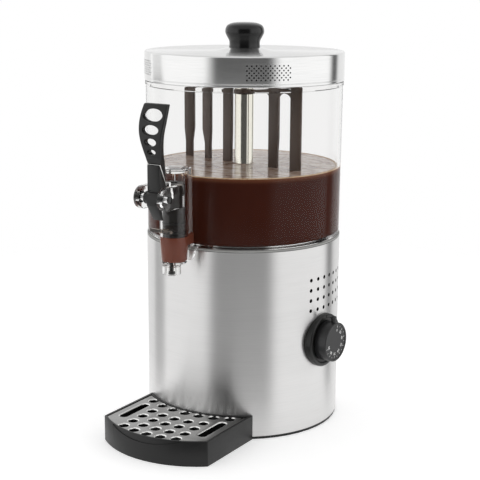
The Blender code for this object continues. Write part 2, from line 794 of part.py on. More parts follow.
def make_seat_ring():
    inner = PLATE_FLANGE_RADIUS + SEAT_GAP
    shelf = SHELL_INNER - SEAT_GAP
    ring = turned(
        "seat_ring",
        (
            (inner, PLATE_BOTTOM),
            (shelf, PLATE_BOTTOM),
            (shelf, BODY_TOP + SEAT_GAP),
            (BODY_RADIUS, BODY_TOP + SEAT_GAP),
            (BODY_RADIUS, SEAT_TOP),
            (inner, SEAT_TOP),
        ),
        SIDES_BODY,
    )
    return finish(ring, rubber("seat_rubber"))


def make_heating_plate():
    hole = LOWER_BUSH_RADIUS + SEAT_GAP
    plate = turned(
        "heating_plate",
        (
            (hole, PLATE_BOTTOM),
            (PLATE_FLANGE_RADIUS, PLATE_BOTTOM),
            (PLATE_FLANGE_RADIUS, PLATE_FLANGE_TOP),
            (PLATE_RADIUS, PLATE_FLANGE_TOP),
            (PLATE_RADIUS, PLATE_TOP),
            (hole, PLATE_TOP),
        ),
        SIDES_BODY,
    )
    return finish(plate, polished_steel("plate_steel"))


def make_tank_seal():
    ring = tube(
        "tank_seal",
        PLATE_FLANGE_RADIUS - SEAT_GAP,
        TANK_FLOOR_INNER + SEAT_GAP,
        PLATE_FLANGE_TOP + SEAT_GAP,
        TANK_BOTTOM - SEAT_GAP,
        SIDES_BODY,
    )
    return finish(ring, rubber("seal_rubber"))


def make_heating_element():
    centre_height = PLATE_BOTTOM - SEAT_GAP - ELEMENT_TUBE_RADIUS
    opening = ELEMENT_TUBE_RADIUS * 3 / ELEMENT_RING_RADIUS
    steps = SIDES_MEDIUM
    turn = (2 * math.pi - 2 * opening) / steps
    path = []
    for i in range(steps + 1):
        angle = opening + turn * i
        x = ELEMENT_RING_RADIUS * math.sin(angle)
        y = ELEMENT_RING_RADIUS * math.cos(angle)
        path.append(Vector((x, y, centre_height)))
    first = Vector((path[0].x, path[0].y, centre_height - ELEMENT_END_LENGTH))
    last = Vector((path[-1].x, path[-1].y, centre_height - ELEMENT_END_LENGTH))
    element = wire("heating_element", [first, *path, last], ELEMENT_TUBE_RADIUS)
    return finish(element, brushed_steel("element_steel"))


def wire(name, points, radius):
    """Round wire along points, closed at both ends."""
    curve = bpy.data.curves.new(name, "CURVE")
    curve.dimensions = "3D"
    curve.bevel_depth = radius
    curve.bevel_resolution = 1
    curve.use_fill_caps = True
    line = curve.splines.new("POLY")
    line.points.add(len(points) - 1)
    for place, point in zip(points, line.points):
        point.co = (*place, 1)
    holder = bpy.data.objects.new(name, curve)
    bpy.context.scene.collection.objects.link(holder)
    mesh = bpy.data.meshes.new_from_object(holder.evaluated_get(bpy.context.evaluated_depsgraph_get()))
    bpy.data.objects.remove(holder, do_unlink=True)
    shape = bmesh.new()
    shape.from_mesh(mesh)
    return from_bmesh(name, shape)


def make_safety_cutout():
    top = PLATE_BOTTOM - SEAT_GAP
    cutout = cylinder("safety_cutout", CUTOUT_RADIUS, top - CUTOUT_HEIGHT, top, SIDES_SMALL)
    moved(cutout, offset=(0, -CUTOUT_OFFSET, 0))
    return finish(cutout, material("cutout_ceramic", (0.75, 0.73, 0.68), 0.6))


def make_column():
    foot_low = PLATE_TOP + SEAT_GAP
    foot_top = foot_low + COLUMN_FOOT_THICK
    inner = COLUMN_RADIUS - COLUMN_WALL
    column = turned(
        "column_tube",
        (
            (inner, foot_low),
            (COLUMN_FOOT_RADIUS, foot_low),
            (COLUMN_FOOT_RADIUS, foot_top),
            (COLUMN_RADIUS, foot_top),
            (COLUMN_RADIUS, COLUMN_TOP),
            (inner, COLUMN_TOP),
        ),
        SIDES_LARGE,
    )
    return finish(column, polished_steel("column_steel"))


def make_bushes():
    bore = SHAFT_RADIUS + SHAFT_PLAY
    look = material("bush_bronze", (0.45, 0.30, 0.14), 0.35, 1.0)
    lower = tube("lower_bush", LOWER_BUSH_RADIUS, bore, PLATE_TOP - BUSH_LENGTH, PLATE_TOP, SIDES_MEDIUM)
    finish(lower, look)
    outer = COLUMN_RADIUS - COLUMN_WALL - SEAT_GAP
    upper = tube("upper_bush", outer, bore, COLUMN_TOP - BUSH_LENGTH, COLUMN_TOP, SIDES_MEDIUM)
    finish(upper, look)


def make_drive_shaft(marker):
    shaft = cylinder("drive_shaft", SHAFT_RADIUS, GEARBOX_TOP + COUPLING_LENGTH / 2, SHAFT_TOP, SIDES_MEDIUM)
    finish(shaft, polished_steel("shaft_steel"), parent=marker)
    low = GEARBOX_TOP + MOTOR_BOSS_HEIGHT + RUN_GAP
    coupling = turned(
        "shaft_coupling",
        (
            (OUTPUT_RADIUS + RUN_GAP, low),
            (COUPLING_RADIUS, low),
            (COUPLING_RADIUS, low + COUPLING_LENGTH),
            (SHAFT_RADIUS + SEAT_GAP, low + COUPLING_LENGTH),
            (SHAFT_RADIUS + SEAT_GAP, shaft_end() - SEAT_GAP),
            (OUTPUT_RADIUS + RUN_GAP, shaft_end() - SEAT_GAP),
        ),
        SIDES_MEDIUM,
    )
    return finish(coupling, brushed_steel("coupling_steel"), parent=marker)


def shaft_end():
    return GEARBOX_TOP + COUPLING_LENGTH / 2


def make_gear_motor():
    low = GEARBOX_TOP - GEARBOX_HEIGHT
    boss_top = GEARBOX_TOP + MOTOR_BOSS_HEIGHT
    gearbox = turned(
        "gearbox",
        (
            (0, low),
            (GEARBOX_RADIUS, low),
            (GEARBOX_RADIUS, GEARBOX_TOP),
            (MOTOR_BOSS_RADIUS, GEARBOX_TOP),
            (MOTOR_BOSS_RADIUS, boss_top),
            (OUTPUT_RADIUS, boss_top),
            (OUTPUT_RADIUS, shaft_end() - RUN_GAP * 2),
            (0, shaft_end() - RUN_GAP * 2),
        ),
        SIDES_MEDIUM,
    )
    for place in motor_screw_places():
        socket_low = GEARBOX_TOP - GEARBOX_HEIGHT / 2
        socket_top = GEARBOX_TOP + CUT_OVERRUN
        socket = cylinder("socket", SCREW_RADIUS + SEAT_GAP, socket_low, socket_top, SIDES_HOLE)
        cut(gearbox, moved(socket, offset=place))
    finish(gearbox, material("gearbox_zinc", (0.40, 0.40, 0.41), 0.45, 1.0))
    motor_top = low - SEAT_GAP
    motor = cylinder("drive_motor", MOTOR_RADIUS, motor_top - MOTOR_HEIGHT, motor_top, SIDES_MEDIUM)
    return finish(motor, material("motor_steel", (0.30, 0.31, 0.33), 0.40, 1.0))


def motor_screw_places():
    return [(side * MOTOR_SCREW_SPREAD, 0, 0) for side in (-1, 1)]


def make_motor_mounting():
    low = GEARBOX_TOP + SEAT_GAP
    top = low + BRACKET_THICK
    bracket = block(
        "motor_bracket",
        (-BRACKET_LENGTH / 2, -BRACKET_WIDTH / 2, low),
        (BRACKET_LENGTH / 2, BRACKET_WIDTH / 2, top),
    )
    holes = [cylinder("hole", COUPLING_RADIUS + RUN_GAP, low - CUT_OVERRUN, top + CUT_OVERRUN, SIDES_SMALL)]
    for place in motor_screw_places():
        hole = cylinder("hole", SCREW_RADIUS + SEAT_GAP, low - CUT_OVERRUN, top + CUT_OVERRUN, SIDES_HOLE)
        holes.append(moved(hole, offset=place))
    finish(cut(bracket, *holes), brushed_steel("bracket_steel"))
    head = top + SEAT_GAP
    screw_look = brushed_steel("motor_screw_steel")
    for number, place in enumerate(motor_screw_places(), start=1):
        screw = turned(
            f"motor_screw_{number}",
            (
                (0, low - GEARBOX_HEIGHT / 4),
                (SCREW_RADIUS, low - GEARBOX_HEIGHT / 4),
                (SCREW_RADIUS, head),
                (SCREW_HEAD_RADIUS, head),
                (SCREW_HEAD_RADIUS, head + SCREW_HEAD_HEIGHT),
                (0, head + SCREW_HEAD_HEIGHT),
            ),
            SIDES_HOLE,
        )
        finish(moved(screw, offset=place), screw_look)
    post_top = FRAME_TOP - FRAME_THICK - SEAT_GAP
    post_look = brushed_steel("post_steel")
    for number, side in enumerate((-1, 1), start=1):
        post = cylinder(f"bracket_post_{number}", STANDOFF_RADIUS, top + SEAT_GAP, post_top, SIDES_SMALL)
        finish(moved(post, offset=(side * STANDOFF_SPREAD, 0, 0)), post_look)


def tank_outer(height):
    share = (height - TANK_BOTTOM) / (TANK_TOP - TANK_BOTTOM)
    return TANK_RADIUS_LOW + (TANK_RADIUS_HIGH - TANK_RADIUS_LOW) * share


def make_tank(marker):
    rim_low = TANK_TOP - TANK_RIM_HEIGHT
    rim_step = TANK_RIM_RADIUS - tank_outer(TANK_TOP)
    tank = turned(
        "tank",
        (
            (TANK_FLOOR_INNER, TANK_BOTTOM),
            (TANK_RADIUS_LOW, TANK_BOTTOM),
            (tank_outer(rim_low - rim_step), rim_low - rim_step),
            (TANK_RIM_RADIUS, rim_low),
            (TANK_RIM_RADIUS, TANK_TOP),
            (TANK_RADIUS_HIGH - TANK_WALL, TANK_TOP),
            (TANK_RADIUS_LOW - TANK_WALL, TANK_FLOOR_TOP),
            (TANK_FLOOR_INNER, TANK_FLOOR_TOP),
        ),
        SIDES_BODY,
    )
    port = block(
        "port",
        (-PORT_WIDTH / 2, -TANK_RADIUS_HIGH - CUT_OVERRUN, PORT_LOW),
        (PORT_WIDTH / 2, -TANK_RADIUS_LOW + TANK_WALL + CUT_OVERRUN, PORT_LOW + PORT_HEIGHT),
    )
    return finish(cut(tank, port), clear_plastic("tank_plastic"), parent=marker)


def make_tank_hook(marker):
    back = BODY_RADIUS + SEAT_GAP
    front = back + HOOK_DEPTH
    top = PORT_LOW - PASSAGE_WALL - SEAT_GAP
    low = SEAT_TOP - HOOK_LENGTH
    outline = (
        (-HOOK_WIDTH / 2, top),
        (-HOOK_TAPER_WIDTH / 2, low),
        (HOOK_TAPER_WIDTH / 2, low),
        (HOOK_WIDTH / 2, top),
    )
    hook = front_prism("tank_hook", outline, back - HOOK_DEPTH, front)
    tank_side = TANK_RADIUS_LOW + SEAT_GAP
    inside = turned(
        "inside",
        (
            (0, low - CUT_OVERRUN),
            (back, low - CUT_OVERRUN),
            (back, TANK_BOTTOM),
            (tank_side, TANK_BOTTOM),
            (tank_side, top + CUT_OVERRUN),
            (0, top + CUT_OVERRUN),
        ),
        SIDES_BODY,
    )
    return finish(cut(hook, inside), clear_plastic("hook_plastic"), parent=marker)


def make_tap_body(marker):
    centre = (0, -TAP_REACH, 0)
    cup_wall = BARREL_RADIUS - BARREL_BORE
    body = moved(
        turned(
            "tap_body",
            (
                (0, CUP_BOTTOM),
                (CUP_LOW_RADIUS, CUP_BOTTOM),
                (BARREL_RADIUS, BARREL_LOW),
                (BARREL_RADIUS, BARREL_TOP),
                (0, BARREL_TOP),
            ),
            SIDES_LARGE,
        ),
        offset=centre,
    )
    web = block(
        "web",
        (-WEB_THICK / 2, -TAP_REACH, BARREL_LOW - JOIN_DEPTH),
        (WEB_THICK / 2, -TANK_RADIUS_LOW + TANK_WALL, BARREL_TOP - JOIN_DEPTH),
    )
    passage = block(
        "passage",
        (-PASSAGE_WIDTH / 2, -TAP_REACH, PORT_LOW - PASSAGE_WALL),
        (PASSAGE_WIDTH / 2, -TANK_RADIUS_LOW + TANK_WALL, PORT_LOW + PORT_HEIGHT + PASSAGE_WALL),
    )
    join(body, web, passage)
    for side in (-1, 1):
        round_end = arc((PIVOT_REACH, PIVOT_HEIGHT), EAR_RADIUS, -math.pi / 2, math.pi / 2, SIDES_SMALL // 2)
        back = [(EAR_BACK_REACH, PIVOT_HEIGHT + EAR_RADIUS), (EAR_BACK_REACH, PIVOT_HEIGHT - EAR_RADIUS)]
        ear = side_prism("ear", round_end + back, EAR_THICK / 2)
        join(body, moved(ear, offset=(side * (EAR_INNER + EAR_THICK / 2), 0, 0)))
    bore = moved(
        turned(
            "bore",
            (
                (0, CUP_BOTTOM + CUP_FLOOR),
                (CUP_LOW_RADIUS - cup_wall, CUP_BOTTOM + CUP_FLOOR),
                (BARREL_BORE, BARREL_LOW),
                (BARREL_BORE, BARREL_TOP + CUT_OVERRUN),
                (0, BARREL_TOP + CUT_OVERRUN),
            ),
            SIDES_LARGE,
        ),
        offset=centre,
    )
    channel = block(
        "channel",
        (-PORT_WIDTH / 2, -TAP_REACH, PORT_LOW),
        (PORT_WIDTH / 2, -TANK_RADIUS_LOW + TANK_WALL + CUT_OVERRUN, PORT_LOW + PORT_HEIGHT),
    )
    outlet = cylinder("outlet", NOZZLE_BORE, CUP_BOTTOM - CUT_OVERRUN, CUP_BOTTOM + CUT_OVERRUN, SIDES_SMALL)
    axle_reach = EAR_OUTER + CUT_OVERRUN
    axle_hole = cylinder("axle_hole", AXLE_RADIUS + SEAT_GAP, -axle_reach, axle_reach, SIDES_SMALL)
    moved(axle_hole, offset=(0, -PIVOT_REACH, PIVOT_HEIGHT), turn=Matrix.Rotation(math.pi / 2, 3, "Y"))
    slot = block(
        "slot",
        (-FINGER_WIDTH / 2 - RUN_GAP, -TAP_REACH - BARREL_RADIUS - CUT_OVERRUN, PIVOT_HEIGHT - slot_below()),
        (FINGER_WIDTH / 2 + RUN_GAP, -TAP_REACH, PIVOT_HEIGHT + PULL_LIFT + FINGER_TIP_RADIUS + FINGER_PLAY),
    )
    wall_clear = turned(
        "wall_clear",
        (
            (0, TANK_BOTTOM - CUT_OVERRUN),
            (tank_outer(TANK_BOTTOM - CUT_OVERRUN) + SEAT_GAP, TANK_BOTTOM - CUT_OVERRUN),
            (tank_outer(TANK_TOP) + SEAT_GAP, TANK_TOP),
            (0, TANK_TOP),
        ),
        SIDES_BODY,
    )
    join(bore, channel, moved(outlet, offset=(0, -NOZZLE_REACH, 0)), slot)
    cut(body, wall_clear, axle_hole, bore)
    return finish(body, clear_plastic("tap_plastic"), parent=marker)


def slot_below():
    return FINGER_TIP_RADIUS + FINGER_PLAY


def make_tap_nozzle(marker):
    skirt_end = NOZZLE_TOP - NOZZLE_SKIRT_LENGTH
    plate_low = NOZZLE_TOP - NOZZLE_PLATE
    nozzle = turned(
        "tap_nozzle",
        (
            (NOZZLE_BORE, NOZZLE_TOP),
            (NOZZLE_SKIRT_RADIUS, NOZZLE_TOP),
            (NOZZLE_SKIRT_RADIUS, skirt_end),
            (NOZZLE_SKIRT_RADIUS - NOZZLE_SKIRT_WALL, skirt_end),
            (NOZZLE_SKIRT_RADIUS - NOZZLE_SKIRT_WALL, plate_low),
            (NOZZLE_TUBE_RADIUS, plate_low),
            (NOZZLE_TUBE_RADIUS, NOZZLE_END),
            (NOZZLE_LIP_BORE, NOZZLE_END),
            (NOZZLE_LIP_BORE, NOZZLE_END + NOZZLE_LIP_HEIGHT),
            (NOZZLE_BORE, NOZZLE_END + NOZZLE_LIP_HEIGHT),
        ),
        SIDES_MEDIUM,
    )
    moved(nozzle, offset=(0, -NOZZLE_REACH, 0))
    return finish(nozzle, clear_plastic("nozzle_plastic"), parent=marker)


def make_tap_cap(marker):
    flange_low = BARREL_TOP + SEAT_GAP
    plug_radius = BARREL_BORE - SEAT_GAP
    collar_low = POST_COLLAR_TOP - POST_COLLAR_HEIGHT
    cap = turned(
        "tap_cap",
        (
            (0, collar_low),
            (POST_COLLAR_RADIUS, collar_low),
            (POST_COLLAR_RADIUS, POST_COLLAR_TOP),
            (POST_RADIUS, POST_COLLAR_TOP),
            (POST_RADIUS, BARREL_TOP - CAP_PLUG),
            (plug_radius, BARREL_TOP - CAP_PLUG),
            (plug_radius, flange_low),
            (BARREL_RADIUS, flange_low),
            (BARREL_RADIUS, flange_low + CAP_FLANGE),
            (0, flange_low + CAP_FLANGE),
        ),
        SIDES_MEDIUM,
    )
    moved(cap, offset=(0, -TAP_REACH, 0))
    return finish(cap, clear_plastic("cap_plastic"), parent=marker)


def make_tap_stop(marker):
    half = STOP_BAR / 2
    bar = block(
        "tap_stop",
        (-STOP_WIDTH / 2, -STOP_REACH - half, STOP_HEIGHT - half),
        (STOP_WIDTH / 2, -STOP_REACH + half, STOP_HEIGHT + half),
    )
    stem = block(
        "stem",
        (-STOP_STEM_WIDTH / 2, -STOP_REACH, STOP_HEIGHT - half / 2),
        (STOP_STEM_WIDTH / 2, -TAP_REACH, STOP_HEIGHT + half / 2),
    )
    barrel = cylinder("barrel", BARREL_RADIUS + SEAT_GAP, CUP_BOTTOM, BARREL_TOP, SIDES_LARGE)
    cut(stem, moved(barrel, offset=(0, -TAP_REACH, 0)))
    look = material("smoked_plastic", (0.10, 0.075, 0.05), 0.15, 0.0, 0.85)
    return finish(join(bar, stem), look, parent=marker)


def make_plunger(marker):
    ring_low = PLUNGER_BOTTOM + RING_LOW_OFFSET
    floor = PLUNGER_BOTTOM + PLUNGER_FLOOR
    profile = [(0, PLUNGER_BOTTOM), (PLUNGER_RADIUS, PLUNGER_BOTTOM)]
    for i in range(2):
        low = ring_low + RING_PITCH * i - SEAT_GAP
        top = low + RING_WIDTH + 2 * SEAT_GAP
        groove = PLUNGER_RADIUS - RING_GROOVE_DEPTH
        profile += [(PLUNGER_RADIUS, low), (groove, low), (groove, top), (PLUNGER_RADIUS, top)]
    profile += [(PLUNGER_RADIUS, PLUNGER_TOP), (PLUNGER_BORE, PLUNGER_TOP), (PLUNGER_BORE, floor), (0, floor)]
    body = moved(turned("plunger", profile, SIDES_MEDIUM), offset=(0, -TAP_REACH, 0))
    tip_top = NOZZLE_END + NOZZLE_LIP_HEIGHT + SEAT_GAP + TIP_HEIGHT
    stem = cylinder("stem", STEM_RADIUS, tip_top + SEAT_GAP, PLUNGER_BOTTOM + JOIN_DEPTH, SIDES_HOLE)
    join(body, moved(stem, offset=(0, -NOZZLE_REACH, 0)))
    window_depth = PIVOT_REACH - FINGER_REACH - FINGER_TIP_RADIUS - RUN_GAP
    window = block(
        "window",
        (-FINGER_WIDTH / 2 - RUN_GAP, -PIVOT_REACH, PIVOT_HEIGHT - slot_below()),
        (FINGER_WIDTH / 2 + RUN_GAP, -window_depth, PIVOT_HEIGHT + slot_below()),
    )
    cut(body, window)
    finish(body, black_plastic("plunger_plastic"), parent=marker)
    ring_look = rubber("ring_rubber")
    for i in range(2):
        low = ring_low + RING_PITCH * i
        outer = BARREL_BORE - RING_SQUEEZE_GAP
        inner = PLUNGER_RADIUS - RING_GROOVE_DEPTH + SEAT_GAP
        ring = tube(f"plunger_ring_{i + 1}", outer, inner, low, low + RING_WIDTH, SIDES_MEDIUM)
        finish(moved(ring, offset=(0, -TAP_REACH, 0)), ring_look, parent=marker)
    tip = cylinder("valve_tip", TIP_RADIUS, tip_top - TIP_HEIGHT, tip_top, SIDES_SMALL)
    moved(tip, offset=(0, -NOZZLE_REACH, 0))
    return finish(tip, rubber("tip_rubber"), parent=marker)


def make_plunger_spring(marker):
    low = PLUNGER_BOTTOM + PLUNGER_FLOOR + SEAT_GAP + SPRING_WIRE_RADIUS
    high = POST_COLLAR_TOP - POST_COLLAR_HEIGHT - SEAT_GAP - SPRING_WIRE_RADIUS
    count = SPRING_CURLS * SPRING_POINTS_PER_CURL
    points = []
    for i in range(count + 1):
        angle = 2 * math.pi * i / SPRING_POINTS_PER_CURL
        height = low + (high - low) * i / count
        x = SPRING_COIL_RADIUS * math.cos(angle)
        y = SPRING_COIL_RADIUS * math.sin(angle) - TAP_REACH
        points.append(Vector((x, y, height)))
    least = min(
        (points[i] - points[j]).length
        for i in range(len(points))
        for j in range(i + SPRING_POINTS_PER_CURL // 2, len(points))
    )
    print("plunger_spring least gap to itself, mm:", round((least - 2 * SPRING_WIRE_RADIUS) * 1000, 2))
    spring = wire("plunger_spring", points, SPRING_WIRE_RADIUS)
    return finish(spring, polished_steel("spring_steel"), parent=marker)


def split_line(shift):
    """Front and back ends of the slanted joint, moved along its upward normal."""
    run = ARM_FRONT_REACH - ARM_BACK_REACH
    rise = SPLIT_FRONT_HEIGHT - SPLIT_BACK_HEIGHT
    length = math.hypot(run, rise)
    step = (-rise / length * shift, run / length * shift)
    front = (ARM_FRONT_REACH + step[0], SPLIT_FRONT_HEIGHT + step[1])
    back = (ARM_BACK_REACH + step[0], SPLIT_BACK_HEIGHT + step[1])
    return front, back


def reach_at(line, height):
    """Reach on a slanted line at a height."""
    (front_reach, front_height), (back_reach, back_height) = line
    share = (height - back_height) / (front_height - back_height)
    return back_reach + (front_reach - back_reach) * share


def height_at(line, reach):
    """Height on a slanted line at a reach."""
    (front_reach, front_height), (back_reach, back_height) = line
    share = (reach - back_reach) / (front_reach - back_reach)
    return back_height + (front_height - back_height) * share


def make_lever(marker):
    pivot = (0, -PIVOT_REACH, PIVOT_HEIGHT)
    across = Matrix.Rotation(math.pi / 2, 3, "Y")
    hub_half = EAR_INNER - HUB_SIDE_PLAY
    arm = cylinder("lever_arm", HUB_RADIUS, -hub_half, hub_half, SIDES_MEDIUM)
    moved(arm, offset=pivot, turn=across)
    line = split_line(0)
    shank = side_prism(
        "shank",
        (
            (ARM_FRONT_REACH, PIVOT_HEIGHT),
            (ARM_FRONT_REACH, height_at(line, ARM_FRONT_REACH)),
            (ARM_BACK_REACH, height_at(line, ARM_BACK_REACH)),
            (ARM_BACK_REACH, PIVOT_HEIGHT + HUB_RADIUS / 2),
        ),
        ARM_WIDTH / 2,
    )
    tip_centre = (PIVOT_REACH - FINGER_REACH, PIVOT_HEIGHT)
    tip = arc(tip_centre, FINGER_TIP_RADIUS, math.pi / 2, math.pi * 3 / 2, SIDES_HOLE // 2)
    finger_root = [
        (PIVOT_REACH - HUB_RADIUS / 2, PIVOT_HEIGHT - FINGER_TIP_RADIUS),
        (PIVOT_REACH - HUB_RADIUS / 2, PIVOT_HEIGHT + FINGER_TIP_RADIUS),
    ]
    finger = side_prism("finger", tip + finger_root, FINGER_WIDTH / 2)
    foot_tip = (PIVOT_REACH - FOOT_TIP_BACK, PIVOT_HEIGHT - FOOT_DROP)
    foot = side_prism(
        "foot",
        (
            (PIVOT_REACH + HUB_RADIUS * FOOT_FRONT_SHARE, PIVOT_HEIGHT),
            (PIVOT_REACH + HUB_RADIUS * FOOT_FRONT_SHARE, PIVOT_HEIGHT - HUB_RADIUS),
            (foot_tip[0] + FOOT_TIP_THICK, foot_tip[1]),
            foot_tip,
            (PIVOT_REACH - HUB_RADIUS * FOOT_BACK_SHARE, PIVOT_HEIGHT - HUB_RADIUS),
            (PIVOT_REACH - HUB_RADIUS * FOOT_BACK_SHARE, PIVOT_HEIGHT),
        ),
        FOOT_WIDTH / 2,
    )
    join(arm, shank, finger, foot)
    hole = cylinder("hole", AXLE_RADIUS + SEAT_GAP, -EAR_OUTER, EAR_OUTER, SIDES_SMALL)
    cut(arm, moved(hole, offset=pivot, turn=across))
    finish(arm, black_plastic("arm_plastic"), pivot=pivot, parent=marker)

    low_line = split_line(SEAT_GAP)
    high_line = split_line(SEAT_GAP + TRIM_THICK)
    trim = side_prism("lever_trim", (low_line[0], high_line[0], high_line[1], low_line[1]), TRIM_WIDTH / 2)
    finish(trim, polished_steel("trim_chrome"), pivot=pivot, parent=marker)
    return make_grip(marker, pivot)


def make_grip(marker, pivot):
    """Grip lofted through its sections, cut to the slanted joint, with its holes."""
    shape = bmesh.new()
    rings = []
    foot = (-SPLIT_DROP - GRIP_SINK, *GRIP_FOOT)
    for rise, lead, thick, width in (foot, *GRIP_SECTIONS):
        height = SPLIT_FRONT_HEIGHT + rise
        reach = ARM_FRONT_REACH + lead
        edge = GRIP_EDGE_ROUND
        half = width / 2
        outline = (
            (-half + edge, reach),
            (half - edge, reach),
            (half, reach - edge),
            (half, reach - thick + edge),
            (half - edge, reach - thick),
            (-half + edge, reach - thick),
            (-half, reach - thick + edge),
            (-half, reach - edge),
        )
        rings.append([shape.verts.new((x, -y, height)) for x, y in outline])
    for below, above in zip(rings, rings[1:]):
        for i in range(len(below)):
            shape.faces.new((below[i - 1], below[i], above[i], above[i - 1]))
    shape.faces.new(rings[0])
    shape.faces.new(rings[-1])
    grip = from_bmesh("lever_grip", shape)
    line = split_line(2 * SEAT_GAP + TRIM_THICK)
    margin = CUT_OVERRUN * 2
    below = SPLIT_BACK_HEIGHT - GRIP_SINK - margin
    far_reach = ARM_FRONT_REACH + margin
    near_reach = reach_at(line, below)
    away = side_prism(
        "away", ((far_reach, below), (far_reach, height_at(line, far_reach)), (near_reach, below)), ARM_WIDTH
    )
    cut(grip, away)
    front = ARM_FRONT_REACH + max(lead for _, lead, _, _ in GRIP_SECTIONS)
    for rise, width, tall in GRIP_HOLES:
        outline = oval((0, SPLIT_FRONT_HEIGHT + rise), width / 2, tall / 2, SIDES_SMALL)
        cut(grip, front_prism("hole", outline, ARM_BACK_REACH - CUT_OVERRUN, front + CUT_OVERRUN))
    return finish(grip, black_plastic("grip_plastic"), pivot=pivot, parent=marker)


def make_lever_axle(marker):
    inner = EAR_OUTER + SEAT_GAP
    outer = inner + AXLE_HEAD_THICK
    axle = turned(
        "lever_axle",
        (
            (0, -outer),
            (AXLE_HEAD_RADIUS, -outer),
            (AXLE_HEAD_RADIUS, -inner),
            (AXLE_RADIUS, -inner),
            (AXLE_RADIUS, outer),
            (0, outer),
        ),
        SIDES_SMALL,
    )
    across = Matrix.Rotation(math.pi / 2, 3, "Y")
    moved(axle, offset=(0, -PIVOT_REACH, PIVOT_HEIGHT), turn=across)
    return finish(axle, polished_steel("axle_steel"), parent=marker)


def make_paddle(marker):
    hub_low = COLUMN_TOP + RUN_GAP
    bore = SHAFT_RADIUS + SEAT_GAP
    hub = tube("mixing_paddle", HUB_PADDLE_RADIUS, bore, hub_low, HUB_PADDLE_TOP, SIDES_MEDIUM)
    bar_low = CROSSBAR_TOP - CROSSBAR_HEIGHT
    for side in (-1, 1):
        reach = max(abs(place) for place, *_ in PADDLE_BLADES if place * side > 0)
        ends = sorted((side * (bore + JOIN_DEPTH), side * reach))
        bar = block("bar", (ends[0], -BLADE_THICK / 2, bar_low), (ends[1], BLADE_THICK / 2, CROSSBAR_TOP))
        join(hub, bar)
    half = BLADE_WIDTH / 2
    for place, turn, low_share, high_share in PADDLE_BLADES:
        low_tip = BLADE_WIDTH * low_share - half
        high_tip = half - BLADE_WIDTH * high_share
        outline = (
            (-half, BLADE_TOP),
            (-half, BLADE_SHOULDER),
            (low_tip, BLADE_NECK),
            (low_tip, BLADE_BOTTOM),
            (high_tip, BLADE_BOTTOM),
            (high_tip, BLADE_NECK),
            (half, BLADE_SHOULDER),
            (half, BLADE_TOP),
        )
        half_thick = BLADE_THICK / 2 + JOIN_DEPTH / 4
        blade = front_prism("blade", outline, -half_thick, half_thick)
        moved(blade, offset=(place, 0, 0), turn=Matrix.Rotation(turn, 3, "Z"))
        join(hub, blade)
    moved(hub, turn=Matrix.Rotation(PADDLE_ANGLE - math.pi / 2, 3, "Z"))
    finish(hub, material("paddle_plastic", (0.075, 0.062, 0.052), 0.40), parent=marker)
    nut_low = HUB_PADDLE_TOP + SEAT_GAP
    nut_top = SHAFT_TOP + SEAT_GAP + LINER_WALL
    nut = turned(
        "paddle_nut",
        (
            (bore, nut_low),
            (NUT_RADIUS, nut_low),
            (NUT_RADIUS, nut_top),
            (0, nut_top),
            (0, SHAFT_TOP + SEAT_GAP),
            (bore, SHAFT_TOP + SEAT_GAP),
        ),
        SIDES_SMALL,
    )
    return finish(nut, black_plastic("nut_plastic"), parent=marker)


def make_lid(marker):
    inner = LID_RADIUS - LID_WALL
    under = LID_TOP - LID_WALL
    screw_hole = KNOB_SCREW_RADIUS + SEAT_GAP
    lid = turned(
        "lid_shell",
        (
            (screw_hole, under),
            (BOSS_TOP_RADIUS - LID_WALL, under),
            (inner, under),
            (inner, LID_BOTTOM + SEAT_GAP * 2),
            (inner, LID_BOTTOM),
            (LID_RADIUS - LID_WALL / 2, LID_BOTTOM),
            (LID_RADIUS, LID_BOTTOM + LID_WALL / 2),
            (LID_RADIUS, LID_TOP - LID_CORNER),
            (LID_RADIUS - LID_CORNER * LID_CORNER_SHARE, LID_TOP - LID_CORNER * LID_CORNER_SHARE),
            (LID_RADIUS - LID_CORNER, LID_TOP),
            (BOSS_BASE_RADIUS, LID_TOP),
            (BOSS_TOP_RADIUS, BOSS_TOP),
            (screw_hole, BOSS_TOP),
        ),
        SIDES_BODY,
    )
    finish(lid, brushed_steel("lid_steel"), parent=marker)
    outer = TANK_RADIUS_HIGH - TANK_WALL - LINER_SIDE_PLAY
    liner = turned(
        "lid_liner",
        (
            (outer - LINER_WALL, TANK_TOP - LINER_DROP),
            (outer, TANK_TOP - LINER_DROP),
            (outer, LID_BOTTOM + LINER_WALL),
            (inner - SEAT_GAP, LID_BOTTOM + LINER_WALL),
            (inner - SEAT_GAP, LID_BOTTOM + LINER_WALL * 2),
            (outer - LINER_WALL, LID_BOTTOM + LINER_WALL * 2),
        ),
        SIDES_BODY,
    )
    finish(liner, clear_plastic("liner_plastic"), parent=marker)
    knob = turned(
        "lid_knob",
        [(0, KNOB_BASE)]
        + [(radius, KNOB_BASE + height) for radius, height in KNOB_PROFILE]
        + [(0, KNOB_BASE + KNOB_HEIGHT)],
        SIDES_MEDIUM,
    )
    socket = cylinder("socket", screw_hole, KNOB_BASE - CUT_OVERRUN, KNOB_BASE + KNOB_SCREW_DEPTH, SIDES_HOLE)
    finish(cut(knob, socket), material("knob_plastic", (0.012, 0.012, 0.012), 0.10), parent=marker)
    head_top = under - SEAT_GAP
    head_low = head_top - KNOB_SCREW_HEAD_HEIGHT
    end = KNOB_BASE + KNOB_SCREW_DEPTH - SEAT_GAP
    screw = turned(
        "knob_screw",
        (
            (0, head_low),
            (KNOB_SCREW_HEAD_RADIUS, head_low),
            (KNOB_SCREW_HEAD_RADIUS, head_top),
            (KNOB_SCREW_RADIUS, head_top),
            (KNOB_SCREW_RADIUS, end),
            (0, end),
        ),
        SIDES_HOLE,
    )
    return finish(screw, polished_steel("knob_screw_steel"), parent=marker)


